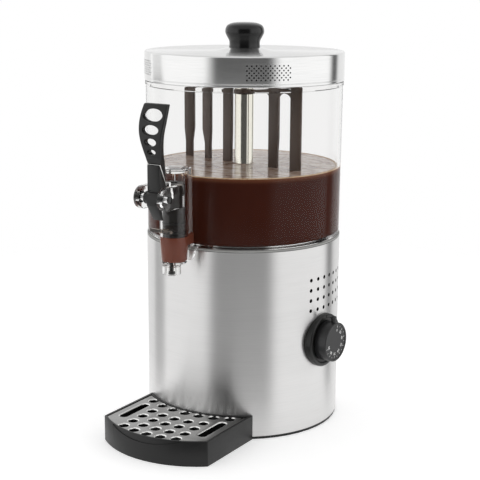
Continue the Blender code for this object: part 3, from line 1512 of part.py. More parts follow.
def on_dial_axis(thing):
    """Place a shape made along +Z, with distances from the body's axis, on the dial's axis."""
    return round_the_body(pointing_out(thing, DIAL_HEIGHT), DIAL_ANGLE)


def make_dial(marker):
    bezel_front = BODY_RADIUS + BEZEL_PROUD
    recess = bezel_front - BEZEL_RECESS_DEPTH
    back = BODY_RADIUS * math.cos(math.asin(BEZEL_RADIUS / BODY_RADIUS)) - CUT_OVERRUN
    bezel = turned(
        "dial_bezel",
        (
            (SPINDLE_HOLE_RADIUS, back),
            (BEZEL_RADIUS, back),
            (BEZEL_RADIUS, bezel_front - BEZEL_RECESS_DEPTH),
            (BEZEL_RADIUS - BEZEL_RECESS_DEPTH, bezel_front),
            (BEZEL_RECESS_RADIUS + BEZEL_RECESS_DEPTH, bezel_front),
            (BEZEL_RECESS_RADIUS, recess),
            (SPINDLE_HOLE_RADIUS, recess),
        ),
        SIDES_LARGE,
    )
    drum = cylinder("drum", BODY_RADIUS + SEAT_GAP, 0, BODY_TOP, SIDES_BODY)
    finish(cut(on_dial_axis(bezel), drum), black_plastic("bezel_plastic"))

    knob_low = recess + RUN_GAP
    face = BODY_RADIUS + DIAL_FACE_PROUD
    knob = turned(
        "dial_knob",
        (
            (SPINDLE_RADIUS + SEAT_GAP, knob_low),
            (DIAL_RADIUS, knob_low),
            (DIAL_RADIUS, face - DIAL_FACE_RIM / 2),
            (DIAL_RADIUS - DIAL_FACE_RIM / 2, face),
            (DIAL_RADIUS - DIAL_FACE_RIM, face),
            (DIAL_RADIUS - DIAL_FACE_RIM - DIAL_FACE_DISH, face - DIAL_FACE_DISH),
            (0, face - DIAL_FACE_DISH),
            (0, face - DIAL_FACE_DISH * 4),
            (SPINDLE_RADIUS + SEAT_GAP, face - DIAL_FACE_DISH * 4),
        ),
        SIDES_LARGE,
    )
    pointer_top = face - POINTER_SINK
    pointer = block(
        "pointer",
        (-POINTER_WIDTH / 2, DIAL_RADIUS - JOIN_DEPTH, pointer_top - POINTER_THICK),
        (POINTER_WIDTH / 2, DIAL_RADIUS + POINTER_LENGTH, pointer_top),
    )
    join(knob, pointer)
    place = DIAL_CENTRE + DIAL_DIRECTION * face
    dial_look = material("dial_plastic", (0.16, 0.16, 0.165), 0.38)
    finish(on_dial_axis(knob), dial_look, pivot=place, parent=marker)
    spindle_low = SHELL_INNER - SEAT_GAP * 2
    spindle_top = face - DIAL_FACE_DISH * 4 - SEAT_GAP
    spindle = cylinder("dial_spindle", SPINDLE_RADIUS, spindle_low, spindle_top, SIDES_SMALL)
    finish(on_dial_axis(spindle), brushed_steel("spindle_steel"), pivot=place, parent=marker)

    body_front = SHELL_INNER * math.cos(math.asin(THERMOSTAT_SIZE / 2 / SHELL_INNER)) - SEAT_GAP
    half = THERMOSTAT_SIZE / 2
    box = block("thermostat_body", (-half, -half, body_front - THERMOSTAT_DEPTH), (half, half, body_front))
    neck = cylinder("neck", SPINDLE_HOLE_RADIUS, body_front - JOIN_DEPTH, spindle_low - RUN_GAP, SIDES_SMALL)
    return finish(on_dial_axis(join(box, neck)), material("thermostat_resin", (0.55, 0.50, 0.42), 0.5))


def make_switch(marker):
    half_w = SWITCH_FRAME_WIDTH / 2
    half_h = SWITCH_FRAME_HEIGHT / 2
    body_w = SWITCH_BODY_WIDTH / 2
    body_h = SWITCH_BODY_HEIGHT / 2
    front = BODY_RADIUS + SWITCH_FRAME_PROUD
    back = SHELL_INNER - SWITCH_BODY_DEPTH
    frame = block(
        "switch_body", (-front, -body_w, SWITCH_HEIGHT - body_h), (-back, body_w, SWITCH_HEIGHT + body_h)
    )
    flange_back = BODY_RADIUS * math.cos(math.asin(half_w / BODY_RADIUS)) - CUT_OVERRUN
    flange = block(
        "flange", (-front, -half_w, SWITCH_HEIGHT - half_h), (-flange_back, half_w, SWITCH_HEIGHT + half_h)
    )
    drum = cylinder("drum", BODY_RADIUS + SEAT_GAP, 0, BODY_TOP, SIDES_BODY)
    cut(flange, drum)
    join(frame, flange)
    well_w = body_w - SWITCH_WALL
    well_h = body_h - SWITCH_WALL
    well_back = front - ROCKER_DEPTH - ROCKER_SPACE
    well = block(
        "well",
        (-front - CUT_OVERRUN, -well_w, SWITCH_HEIGHT - well_h),
        (-well_back, well_w, SWITCH_HEIGHT + well_h),
    )
    cut(frame, well)
    finish(frame, black_plastic("switch_plastic"))

    rock_w = well_w - RUN_GAP
    rock_h = well_h - RUN_GAP * 2
    lean = rock_h * math.tan(ROCKER_TILT)
    top_share, middle_share, bottom_share = ROCKER_BACK_SHARES
    outline = (
        (front - lean / 2, SWITCH_HEIGHT - rock_h),
        (front - lean / 4, SWITCH_HEIGHT),
        (front + lean / 2, SWITCH_HEIGHT + rock_h),
        (front - ROCKER_DEPTH * top_share, SWITCH_HEIGHT + rock_h * ROCKER_END_SHARE),
        (front - ROCKER_DEPTH * middle_share, SWITCH_HEIGHT),
        (front - ROCKER_DEPTH * bottom_share, SWITCH_HEIGHT - rock_h * ROCKER_END_SHARE),
    )
    rocker = side_prism("switch_rocker", outline, rock_w)
    moved(rocker, turn=Matrix.Rotation(-math.pi / 2, 3, "Z"))
    place = (-rocker_axis(), 0, SWITCH_HEIGHT)
    return finish(rocker, material("rocker_plastic", (0.45, 0.02, 0.02), 0.3), pivot=place, parent=marker)


def rocker_axis():
    return BODY_RADIUS + SWITCH_FRAME_PROUD - ROCKER_DEPTH / 2


def make_cable_inlet():
    neck_inner = SHELL_INNER - INLET_FLANGE_THICK - SEAT_GAP
    face = BODY_RADIUS + SEAT_GAP
    inlet = turned(
        "cable_inlet",
        (
            (INLET_BORE, neck_inner),
            (INLET_NECK_RADIUS, neck_inner),
            (INLET_NECK_RADIUS, face),
            (INLET_FLANGE_RADIUS, face),
            (INLET_FLANGE_RADIUS - INLET_FLANGE_THICK / 2, face + INLET_FLANGE_THICK),
            (INLET_BORE, face + INLET_FLANGE_THICK),
        ),
        SIDES_SMALL,
    )
    return finish(round_the_body(pointing_out(inlet, INLET_HEIGHT), math.pi), rubber("inlet_rubber"))


def make_terminal_block():
    low = COVER_THICK + SEAT_GAP
    made = block(
        "terminal_block",
        (-TERMINAL_LENGTH / 2, TERMINAL_REACH - TERMINAL_WIDTH / 2, low),
        (TERMINAL_LENGTH / 2, TERMINAL_REACH + TERMINAL_WIDTH / 2, low + TERMINAL_HEIGHT),
    )
    return finish(made, material("terminal_ceramic", (0.80, 0.78, 0.72), 0.5))


def tray_outline(inset):
    """Plan of the tray: bowed front, straight sides and a hollow back that follows the body."""
    half = TRAY_HALF_WIDTH - inset
    front_radius = TRAY_FRONT_RADIUS - inset
    back_radius = TRAY_BACK_RADIUS + inset
    front_turn = math.asin(half / front_radius)
    back_turn = math.asin(half / back_radius)
    front = arc(
        (0, -TRAY_ARC_CENTRE),
        front_radius,
        -math.pi / 2 - front_turn,
        -math.pi / 2 + front_turn,
        TRAY_ARC_STEPS,
    )
    back = arc((0, 0), back_radius, -math.pi / 2 + back_turn, -math.pi / 2 - back_turn, TRAY_ARC_STEPS)
    return front + back


def make_drip_tray(marker):
    tray = prism("drip_tray", tray_outline(0), 0, TRAY_HEIGHT)
    for side in (-1, 1):
        x = side * HOOK_TAB_SPREAD
        reach = math.sqrt(TRAY_BACK_RADIUS**2 - HOOK_TAB_SPREAD**2)
        tab = block(
            "tab",
            (x - HOOK_TAB_WIDTH / 2, -TRAY_BACK_RADIUS - TRAY_WALL / 2, HOOK_TAB_LEVEL),
            (x + HOOK_TAB_WIDTH / 2, HOOK_TAB_LENGTH - reach, HOOK_TAB_LEVEL + HOOK_TAB_HEIGHT),
        )
        join(tray, tab)
    ledge = GRILLE_TOP - GRILLE_THICK - SEAT_GAP
    well = prism("well", tray_outline(TRAY_WALL + TRAY_LEDGE_WIDTH), TRAY_FLOOR, ledge + CUT_OVERRUN)
    seat = prism("seat", tray_outline(TRAY_WALL), ledge, TRAY_HEIGHT + CUT_OVERRUN)
    cut(tray, well, seat)
    steps = TRAY_ARC_STEPS
    low = []
    for i in range(steps + 1):
        x = SCALLOP_HALF_WIDTH * (2 * i / steps - 1)
        low.append((x, TRAY_HEIGHT - SCALLOP_DROP * (1 - (x / SCALLOP_HALF_WIDTH) ** 2)))
    low[0] = (-SCALLOP_HALF_WIDTH, TRAY_HEIGHT + CUT_OVERRUN)
    low[-1] = (SCALLOP_HALF_WIDTH, TRAY_HEIGHT + CUT_OVERRUN)
    scallop = front_prism("scallop", low, BODY_RADIUS, TRAY_FRONT_REACH + CUT_OVERRUN)
    core_radius = TRAY_FRONT_RADIUS - SCALLOP_DEPTH
    core = cylinder("core", core_radius, -CUT_OVERRUN, TRAY_HEIGHT + CUT_OVERRUN * 2, SIDES_BODY)
    cut(scallop, moved(core, offset=(0, -TRAY_ARC_CENTRE, 0)))
    cut(tray, scallop)
    return finish(tray, black_plastic("tray_plastic"), parent=marker)


def make_drip_grille(marker):
    low = GRILLE_TOP - GRILLE_THICK
    grille = prism("drip_grille", tray_outline(TRAY_WALL + SEAT_GAP), low, GRILLE_TOP)
    holes = []
    middle = (GRILLE_BACK_HOLES - 1) / 2
    for i in range(GRILLE_BACK_HOLES):
        x = (i - middle) * GRILLE_HOLE_PITCH
        holes.append((x, -math.sqrt(GRILLE_BACK_ROW_RADIUS**2 - x**2)))
    middle = (GRILLE_ROW_HOLES - 1) / 2
    for share in GRILLE_ROW_SHARES:
        reach = BODY_RADIUS + TRAY_LENGTH * share
        for i in range(GRILLE_ROW_HOLES):
            x = (i - middle) * GRILLE_HOLE_PITCH
            sag = GRILLE_ROW_CURVE_RADIUS - math.sqrt(GRILLE_ROW_CURVE_RADIUS**2 - x**2)
            holes.append((x, sag - reach))
    over = CUT_OVERRUN
    for x, y in holes:
        hole = cylinder("hole", GRILLE_HOLE_DIAMETER / 2, low - over, GRILLE_TOP + over, SIDES_HOLE)
        cut(grille, moved(hole, offset=(x, y, 0)))
    end = SLOT_WIDTH / 2
    for side in (-1, 1):
        x = side * SLOT_REACH
        front = arc((x, -SLOT_FRONT + end), end, math.pi, 2 * math.pi, SIDES_HOLE // 2)
        back = arc((x, -SLOT_BACK - end), end, 0, math.pi, SIDES_HOLE // 2)
        cut(grille, prism("slot", front + back, low - over, GRILLE_TOP + over))
    return finish(grille, polished_steel("grille_steel"), parent=marker)


def main():
    clear_scene()
    stirrer_axis = axis_marker("stirrer_axis", (0, 0, 0))
    tank_line = axis_marker("tank_line", (0, 0, TANK_BOTTOM))
    lid_line = axis_marker("lid_line", (0, 0, LID_BOTTOM), parent=tank_line)
    lever_axis = axis_marker("lever_axis", (0, -PIVOT_REACH, PIVOT_HEIGHT), parent=tank_line)
    plunger_line = axis_marker("plunger_line", (0, -TAP_REACH, PLUNGER_BOTTOM), parent=tank_line)
    dial_axis = axis_marker("dial_axis", DIAL_CENTRE + DIAL_DIRECTION * BODY_RADIUS)
    switch_axis = axis_marker("switch_axis", (-rocker_axis(), 0, SWITCH_HEIGHT))
    tray_line = axis_marker("tray_line", (0, -BODY_RADIUS, 0))
    grille_line = axis_marker("grille_line", (0, -BODY_RADIUS, GRILLE_TOP), parent=tray_line)
    make_base_cover()
    make_base_screws()
    make_body_shell()
    make_top_frame()
    make_seat_ring()
    make_heating_plate()
    make_tank_seal()
    make_heating_element()
    make_safety_cutout()
    make_column()
    make_bushes()
    make_drive_shaft(stirrer_axis)
    make_gear_motor()
    make_motor_mounting()
    make_tank(tank_line)
    make_tank_hook(tank_line)
    make_tap_body(tank_line)
    make_tap_nozzle(tank_line)
    make_tap_cap(tank_line)
    make_tap_stop(tank_line)
    make_plunger(plunger_line)
    make_plunger_spring(tank_line)
    make_lever(lever_axis)
    make_lever_axle(tank_line)
    make_paddle(stirrer_axis)
    make_lid(lid_line)
    make_dial(dial_axis)
    make_switch(switch_axis)
    make_cable_inlet()
    make_terminal_block()
    make_drip_tray(tray_line)
    make_drip_grille(grille_line)
    bpy.context.view_layer.update()


main()
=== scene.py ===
"""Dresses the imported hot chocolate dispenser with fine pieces, finishes, studio light and a camera.

Everything is in metres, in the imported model's own frame: +Z up, the tap and the drip tray towards -Y and the
heat dial towards +X. Angles round the body count from -Y towards +X.
"""

import math
from functools import partial

import bmesh
import bpy
from mathutils import Matrix, Vector


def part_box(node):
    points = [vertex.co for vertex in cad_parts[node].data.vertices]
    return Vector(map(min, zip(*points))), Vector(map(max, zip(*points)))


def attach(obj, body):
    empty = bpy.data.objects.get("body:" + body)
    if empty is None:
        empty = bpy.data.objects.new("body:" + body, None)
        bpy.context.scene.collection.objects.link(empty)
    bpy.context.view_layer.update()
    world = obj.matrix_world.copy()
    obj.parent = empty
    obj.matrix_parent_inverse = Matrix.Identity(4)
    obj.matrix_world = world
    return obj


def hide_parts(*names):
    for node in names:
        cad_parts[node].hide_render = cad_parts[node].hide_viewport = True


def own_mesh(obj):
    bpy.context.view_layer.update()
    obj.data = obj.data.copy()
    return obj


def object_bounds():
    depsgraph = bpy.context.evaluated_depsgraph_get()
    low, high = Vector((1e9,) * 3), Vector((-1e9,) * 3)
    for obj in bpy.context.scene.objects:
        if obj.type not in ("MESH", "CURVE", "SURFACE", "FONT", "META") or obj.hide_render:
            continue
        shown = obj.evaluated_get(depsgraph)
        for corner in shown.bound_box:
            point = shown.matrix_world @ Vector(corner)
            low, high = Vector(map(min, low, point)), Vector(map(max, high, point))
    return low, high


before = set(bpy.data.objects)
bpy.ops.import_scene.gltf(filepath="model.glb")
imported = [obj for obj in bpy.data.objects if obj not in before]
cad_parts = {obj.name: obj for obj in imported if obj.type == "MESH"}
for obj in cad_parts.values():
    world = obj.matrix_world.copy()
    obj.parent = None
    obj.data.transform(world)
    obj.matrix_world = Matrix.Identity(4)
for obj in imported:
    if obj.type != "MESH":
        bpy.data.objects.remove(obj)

bl_info = {
    "name": "Hot Chocolate Dispenser",
    "version": (1, 0, 0),
    "blender": (4, 5, 0),
    "location": "View3D > Sidebar > Dispenser",
    "description": "Builds the fine pieces and finishes of a hot chocolate dispenser",
    "category": "Add Mesh",
}

CAD_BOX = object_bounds()

# Steps round a full turn
ROUND_BODY = 192
ROUND_LARGE = 96
ROUND_MEDIUM = 48
ROUND_SMALL = 24
WHOLE_TURN = 2 * math.pi
SMOOTH_ANGLE = math.radians(32)
# Edges of an outline that meet at more than this have no corner to round
STRAIGHT = math.radians(179.9)
# The most of an edge that a rounded corner takes up
MOST_SHARE = 0.49
# How far a cutter reaches beyond what it cuts
OVERRUN = 0.004
# How far a liquid reaches into the clear wall that it wets, so that no air shows between them
WET = 0.00003
CLEARANCE = 0.0003
# Points that lie closer than this become one, in a new mesh and in the result of a Boolean
MERGE = 0.000004
CUT_MERGE = 0.00002
# Small radii and steps
HAIR = 0.0003
THIN = 0.0004
SLIM = 0.0005
FINE = 0.0006
SMALL = 0.0008
EASY = 0.0010
BROAD = 0.0012
SOFT = 0.0015
FULL = 0.0020


def low(node):
    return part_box(node)[0]


def high(node):
    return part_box(node)[1]


def middle(node):
    return (low(node) + high(node)) / 2


BODY_RADIUS = high("body_shell").x
TANK_LOW = low("tank").z
TANK_HIGH = high("tank").z
TANK_RADIUS_LOW = 0.1140
TANK_RADIUS_HIGH = 0.1150
COLUMN_RADIUS = 0.0110
COLUMN_FLANGE = 0.0022
TAP_REACH = -middle("tap_cap").y
NOZZLE_REACH = -middle("tap_nozzle").y
PIVOT = middle("lever_axle")
AXLE_RADIUS = 0.0038
LID_RADIUS = high("lid_shell").x
DIAL_HEIGHT = middle("dial_bezel").z
DIAL_ANGLE = math.radians(85.7)
# Where the tray's two tabs enter the drum
TAB_REACH = 0.038


class Signal:
    """One output of a shader node. Arithmetic on it adds Math nodes."""

    def __init__(self, nodes, socket):
        self.nodes = nodes
        self.socket = socket

    def maths(self, operation, *values):
        return self.nodes.add("Math", {"operation": operation}, dict(enumerate(values)))

    def also(self, output):
        """Another output of the same node."""
        return Signal(self.nodes, self.socket.node.outputs[output])

    def __add__(self, other):
        return self.maths("ADD", self, other)

    def __sub__(self, other):
        return self.maths("SUBTRACT", self, other)

    def __rsub__(self, other):
        return self.maths("SUBTRACT", other, self)

    def __mul__(self, other):
        return self.maths("MULTIPLY", self, other)

    def __pow__(self, other):
        return self.maths("POWER", self, other)

    __radd__ = __add__
    __rmul__ = __mul__


class Nodes:
    """Adds the shader nodes of one material or world."""

    def __init__(self, owner):
        owner.use_nodes = True
        self.tree = owner.node_tree
        self.tree.nodes.clear()

    def add(self, kind, settings=None, inputs=None, output=0):
        node = self.tree.nodes.new("ShaderNode" + kind)
        for name, value in (settings or {}).items():
            setattr(node, name, value)
        for name, value in (inputs or {}).items():
            if isinstance(value, Signal):
                self.tree.links.new(value.socket, node.inputs[name])
            else:
                node.inputs[name].default_value = value
        return Signal(self, node.outputs[output]) if len(node.outputs) else node

    def place(self, scale=(1, 1, 1), turn=(0, 0, 0)):
        """Object coordinates, turned and scaled."""
        spot = self.add("TexCoord", output="Object")
        return self.add("Mapping", None, {"Vector": spot, "Rotation": turn, "Scale": scale})

    def parts(self, output="Object"):
        """The three parts of a coordinate."""
        x = self.add("SeparateXYZ", None, {"Vector": self.add("TexCoord", output=output)})
        return x, x.also("Y"), x.also("Z")

    def join(self, x, y, z):
        return self.add("CombineXYZ", None, {"X": x, "Y": y, "Z": z})

    def noise(self, vector, scale, detail=3.0, roughness=0.5):
        inputs = {"Vector": vector, "Scale": scale, "Detail": detail, "Roughness": roughness}
        return self.add("TexNoise", None, inputs)

    def blend(self, factor, first, second):
        """One colour fading into another."""
        return self.add("Mix", {"data_type": "RGBA"}, {0: factor, 6: first, 7: second}, output=2)

    def step(self, value, start, end):
        """Rises smoothly from 0 at start to 1 at end."""
        inputs = {"Value": value, "From Min": start, "From Max": end}
        return self.add("MapRange", {"interpolation_type": "SMOOTHSTEP"}, inputs)

    def band(self, value, begin, full, fade, end):
        """Rises from 0 at begin to 1 at full, and falls from fade to 0 at end."""
        return self.step(value, begin, full) * self.step(value, end, fade)

    def bump(self, height, distance, strength=1.0):
        return self.add("Bump", None, {"Height": height, "Distance": distance, "Strength": strength})

    def shader(self, inputs):
        return self.add("BsdfPrincipled", None, inputs)

    def mixed(self, factor, first, second):
        return self.add("MixShader", None, {0: factor, 1: first, 2: second})

    def output(self, shader, kind="OutputMaterial"):
        self.add(kind, None, {"Surface": shader})


def tone(code):
    """A colour written as 0xRRGGBB, as the linear values that a shader takes."""
    channels = [((code >> shift) & 255) / 255 for shift in (16, 8, 0)]
    linear = [c / 12.92 if c <= 0.04045 else ((c + 0.055) / 1.055) ** 2.4 for c in channels]
    return (*linear, 1.0)


def shaded(colour, share):
    """A colour made darker or lighter."""
    return [min(channel * share, 1) for channel in colour[:3]] + [1]


def painted(name, paint):
    """A material with a finish. One of that name is painted again."""
    material = bpy.data.materials.get(name) or bpy.data.materials.new(name)
    paint(Nodes(material))
    return material


def paint_brushed(nodes, colour, roughness, stretch, wall, ceiling):
    """Steel brushed round its axis: fine lines run round the wall and in rings on a flat top.

    Inside the radius of its wall and under its ceiling it is painted near black and dull: painted shade, so
    that the inside seen through holes looks dark.
    """
    x, y, z = nodes.parts()
    radius = (x * x + y * y) ** 0.5
    across = z + radius
    fine = nodes.noise(nodes.join(x * 9, y * 9, across * 420), 3.0, 4.0, 0.65)
    hairs = nodes.step(nodes.noise(nodes.join(x * 26, y * 26, across * 1500), 1.0, 2.0), 0.42, 0.68)
    wide = nodes.noise(nodes.join(x * 2, y * 2, across * 45), 1.5, 2.0)
    shade = nodes.blend(wide, shaded(colour, 0.97), shaded(colour, 1.03))
    bright = nodes.blend(hairs * 0.10, shade, shaded(colour, 0.72))
    # Painted shade: mask of the inside, which is painted near black and not metallic
    inside = nodes.step(radius, wall, wall - 0.0002) * nodes.step(z, ceiling + 0.0003, ceiling)
    nodes.output(
        nodes.shader(
            {
                "Base Color": nodes.blend(inside, bright, (0.012, 0.012, 0.012, 1)),
                "Metallic": 1 - inside,
                "Roughness": roughness + (fine - 0.5) * 0.07 + (hairs - 0.5) * 0.03 + inside * 0.3,
                "Anisotropic": stretch,
                "Anisotropic Rotation": 0.25,
                "Normal": nodes.bump(fine + hairs * 0.3, 0.00002, 0.3),
            }
        )
    )


def paint_polished(nodes, colour, roughness):
    """Bright steel with a trace of the polishing mop."""
    cloud = nodes.noise(nodes.place((18, 18, 7)), 2.5)
    mop = nodes.noise(nodes.place((30, 30, 500)), 1.0, 2.0)
    nodes.output(
        nodes.shader(
            {
                "Base Color": nodes.blend(cloud, shaded(colour, 0.94), colour),
                "Metallic": 1.0,
                "Roughness": roughness + (cloud - 0.5) * 0.04 + (mop - 0.5) * 0.02,
                "Normal": nodes.bump(mop, 0.000008, 0.2),
            }
        )
    )


def paint_grille(nodes, colour, roughness, top):
    """A worn plate, painted much brighter where its rims roll down below the top: partly polish on the rims,
    mostly a painted highlight.
    """
    z = nodes.parts()[2]
    # Painted highlight: the rolled rims get a near white colour, so that they shine brighter than the light
    # alone makes them
    rolled = nodes.step(z, top - 0.00002, top - 0.00022)
    wear = nodes.noise(nodes.place((1, 6, 1)), 90.0, 4.0)
    plate = nodes.blend(wear, shaded(colour, 0.85), colour)
    nodes.output(
        nodes.shader(
            {
                "Base Color": nodes.blend(rolled, plate, (0.93, 0.93, 0.92, 1)),
                "Metallic": 1.0,
                "Roughness": roughness - rolled * 0.06 + (wear - 0.5) * 0.05,
                "Normal": nodes.bump(wear, 0.00001, 0.3),
            }
        )
    )


def paint_works(nodes, colour, roughness, metallic):
    """Rolled, cast or painted metal of the inner works."""
    spots = nodes.noise(nodes.place(), 260.0, 4.0)
    cloud = nodes.noise(nodes.place(), 40.0)
    nodes.output(
        nodes.shader(
            {
                "Base Color": nodes.blend(cloud, shaded(colour, 0.80), colour),
                "Metallic": metallic,
                "Roughness": roughness + (spots - 0.5) * 0.15,
                "Normal": nodes.bump(spots, 0.00004, 0.4),
            }
        )
    )


def paint_plastic(nodes, code, roughness, texture, coat=0.0, level=0.5):
    """Moulded plastic or rubber: a fine spark-eroded texture and a slight bloom."""
    colour = tone(code)
    grain = nodes.noise(nodes.place(), 1900.0, 3.0, 0.6)
    bloom = nodes.noise(nodes.place(), 55.0, 4.0, 0.6)
    scuffs = nodes.step(nodes.noise(nodes.place((1, 1, 3), (0.4, 0.2, 0.7)), 170.0, 5.0, 0.7), 0.60, 0.75)
    nodes.output(
        nodes.shader(
            {
                "Base Color": nodes.blend(bloom * 0.6 + scuffs * 0.25, colour, shaded(colour, 1.5)),
                "Roughness": roughness + (bloom - 0.5) * 0.12 + (grain - 0.5) * 0.08,
                "Specular IOR Level": level,
                "Coat Weight": coat,
                "Coat Roughness": 0.05,
                "Normal": nodes.bump(grain + scuffs * 0.2, texture, 0.5),
            }
        )
    )


def paint_clear(nodes, colour, roughness, ior):
    """Clear moulded plastic. Lamps shine through it, so that what it holds is lit."""
    ripple = nodes.noise(nodes.place((6, 6, 3)), 4.0, 2.0)
    smear = nodes.noise(nodes.place((1, 1, 0.4)), 30.0)
    glass = nodes.shader(
        {
            "Base Color": nodes.blend(ripple, colour, shaded(colour, 1.01)),
            "Roughness": roughness + smear * 0.01,
            "IOR": ior,
            "Transmission Weight": 1.0,
            "Normal": nodes.bump(ripple, 0.0004, 0.05),
        }
    )
    through = nodes.add("BsdfTransparent", None, {"Color": (0.96, 0.96, 0.955, 1)})
    shadow = nodes.add("LightPath", output="Is Shadow Ray")
    straight = shadow.maths("MAXIMUM", shadow, shadow.also("Is Diffuse Ray"))
    nodes.output(nodes.mixed(straight, glass, through))


def paint_chocolate(nodes, code, level):
    """Hot chocolate: dark and smooth behind a wall, with a creamy skin, swirls and a ring of foam on top."""
    colour = tone(code)
    x, y, z = nodes.parts()
    radius = (x * x + y * y) ** 0.5
    bands = nodes.noise(nodes.join(x * 24, y * 62, radius * 50), 1.0, 5.0, 0.6)
    clots = nodes.noise(nodes.place((1, 1, 0.2)), 95.0, 5.0, 0.65)
    bubbles = nodes.add("TexVoronoi", None, {"Vector": nodes.place(), "Scale": 620.0})
    skin = nodes.blend(nodes.step(bands, 0.35, 0.68), tone(0x8E6955), tone(0xD6BEAE))
    skin = nodes.blend(nodes.step(clots, 0.42, 0.70) * 0.75, skin, tone(0xE8D8CC))
    foam = nodes.blend(nodes.step(bubbles, 0.15, 0.55), tone(0xA8784F), tone(0xDDBE98))
    ring = nodes.step(radius + (clots - 0.5) * 0.008, 0.1065, 0.1100)
    top = nodes.shader(
        {
            "Base Color": nodes.blend(ring * 0.9, skin, foam),
            "Roughness": 0.14 + ring * 0.35 + clots * 0.08,
            "Normal": nodes.bump(bands + clots * 0.6, 0.0010, 0.16),
        }
    )
    cloud = nodes.noise(nodes.place((1, 1, 1.6)), 16.0)
    near_top = nodes.step(z, level - 0.007, level - 0.0005)
    side = nodes.blend(near_top * 0.35, nodes.blend(cloud, colour, shaded(colour, 1.2)), tone(0x9A6448))
    body = nodes.shader(
        {
            "Base Color": side,
            "Roughness": 0.14 + (cloud - 0.5) * 0.04,
            "Specular IOR Level": 0.11,
            "Sheen Weight": 0.12,
            "Sheen Roughness": 0.45,
            "Sheen Tint": (0.60, 0.22, 0.14, 1),
            "Normal": nodes.bump(cloud, 0.0004, 0.1),
        }
    )
    nodes.output(nodes.mixed(nodes.step(z, level - 0.0010, level - 0.0003), body, top))


def paint_marks(nodes, colour):
    """Printed paint."""
    cloud = nodes.noise(nodes.place(), 900.0, 2.0)
    shade = nodes.blend(cloud, shaded(colour, 0.9), colour)
    nodes.output(nodes.shader({"Base Color": shade, "Roughness": 0.5 + (cloud - 0.5) * 0.1}))


# Within this radius and under this height the lid is painted dark: painted shade inside the lid and at the
# bottoms of its vents
LID_PAINTED_SHADE_RADIUS = LID_RADIUS - 0.0007
LID_PAINTED_SHADE_HEIGHT = high("lid_shell").z - 0.0040
GRILLE_TOP = high("drip_grille").z
FINISHES = {
    "Brushed body steel": partial(
        paint_brushed, colour=(0.72, 0.715, 0.71, 1), roughness=0.31, stretch=0.86,
        # Inside this wall the drum is painted dark: painted shade seen through its vents and slots
        wall=BODY_RADIUS - 0.0001, ceiling=TANK_HIGH,
    ),
    "Brushed lid steel": partial(
        paint_brushed, colour=(0.82, 0.82, 0.815, 1), roughness=0.21, stretch=0.85,
        wall=LID_PAINTED_SHADE_RADIUS, ceiling=LID_PAINTED_SHADE_HEIGHT,
    ),
    "Polished steel": partial(paint_polished, colour=(0.76, 0.755, 0.74, 1), roughness=0.10),
    "Polished column steel": partial(paint_polished, colour=(0.78, 0.76, 0.68, 1), roughness=0.10),
    "Grille steel": partial(paint_grille, colour=(0.36, 0.36, 0.355, 1), roughness=0.16, top=GRILLE_TOP),
    "Plain steel": partial(paint_works, colour=(0.52, 0.52, 0.52, 1), roughness=0.38, metallic=1.0),
    "Zinc plate": partial(paint_works, colour=(0.62, 0.63, 0.62, 1), roughness=0.33, metallic=1.0),
    "Motor paint": partial(paint_works, colour=(0.09, 0.10, 0.11, 1), roughness=0.45, metallic=0.0),
    "Bush bronze": partial(paint_works, colour=(0.45, 0.30, 0.14, 1), roughness=0.35, metallic=1.0),
    "Ceramic": partial(paint_works, colour=(0.80, 0.78, 0.72, 1), roughness=0.50, metallic=0.0),
    "Satin black plastic": partial(paint_plastic, code=0x131312, roughness=0.34, texture=0.00003, level=0.4),
    "Tray black plastic": partial(paint_plastic, code=0x191919, roughness=0.40, texture=0.00004, level=0.35),
    "Gloss black plastic": partial(
        paint_plastic, code=0x0C0C0C, roughness=0.22, texture=0.000004, coat=0.15, level=0.4
    ),
    "Dial black plastic": partial(paint_plastic, code=0x202021, roughness=0.36, texture=0.00002),
    "Valve black plastic": partial(paint_plastic, code=0x140F0D, roughness=0.36, texture=0.00002, level=0.25),
    "Black rubber": partial(paint_plastic, code=0x1C1B1A, roughness=0.66, texture=0.00004, level=0.3),
    "Grey seat rubber": partial(paint_plastic, code=0x9A9A98, roughness=0.60, texture=0.00004, level=0.3),
    "Paddle brown plastic": partial(paint_plastic, code=0x51433A, roughness=0.42, texture=0.00003),
    "Rocker red": partial(paint_plastic, code=0xB41E18, roughness=0.24, texture=0.00001, coat=0.2),
    "Clear plastic": partial(paint_clear, colour=(0.985, 0.985, 0.98, 1), roughness=0.010, ior=1.27),
    "Clear tank plastic": partial(paint_clear, colour=(0.985, 0.983, 0.98, 1), roughness=0.006, ior=1.10),
    "Smoked plastic": partial(paint_clear, colour=(0.20, 0.16, 0.13, 1), roughness=0.05, ior=1.49),
    "White print": partial(paint_marks, colour=(0.80, 0.80, 0.79, 1)),
}


def look(name):
    """The material of a finish, made the first time that it is asked for."""
    return bpy.data.materials.get(name) or painted(name, FINISHES[name])


def from_bmesh(name, shape):
    """A scene object of a bmesh, with doubles merged and faces outwards."""
    bmesh.ops.remove_doubles(shape, verts=shape.verts, dist=MERGE)
    bmesh.ops.recalc_face_normals(shape, faces=shape.faces)
    mesh = bpy.data.meshes.new(name)
    shape.to_mesh(mesh)
    shape.free()
    return linked(name, mesh)


def linked(name, data):
    """A new object in the scene."""
    made = bpy.data.objects.new(name, data)
    bpy.context.scene.collection.objects.link(made)
    return made


def realised(name, data):
    """An object with the mesh that Blender makes from a curve or a text."""
    holder = linked(name, data)
    graph = bpy.context.evaluated_depsgraph_get()
    mesh = bpy.data.meshes.new_from_object(holder.evaluated_get(graph))
    bpy.data.objects.remove(holder, do_unlink=True)
    return linked(name, mesh)


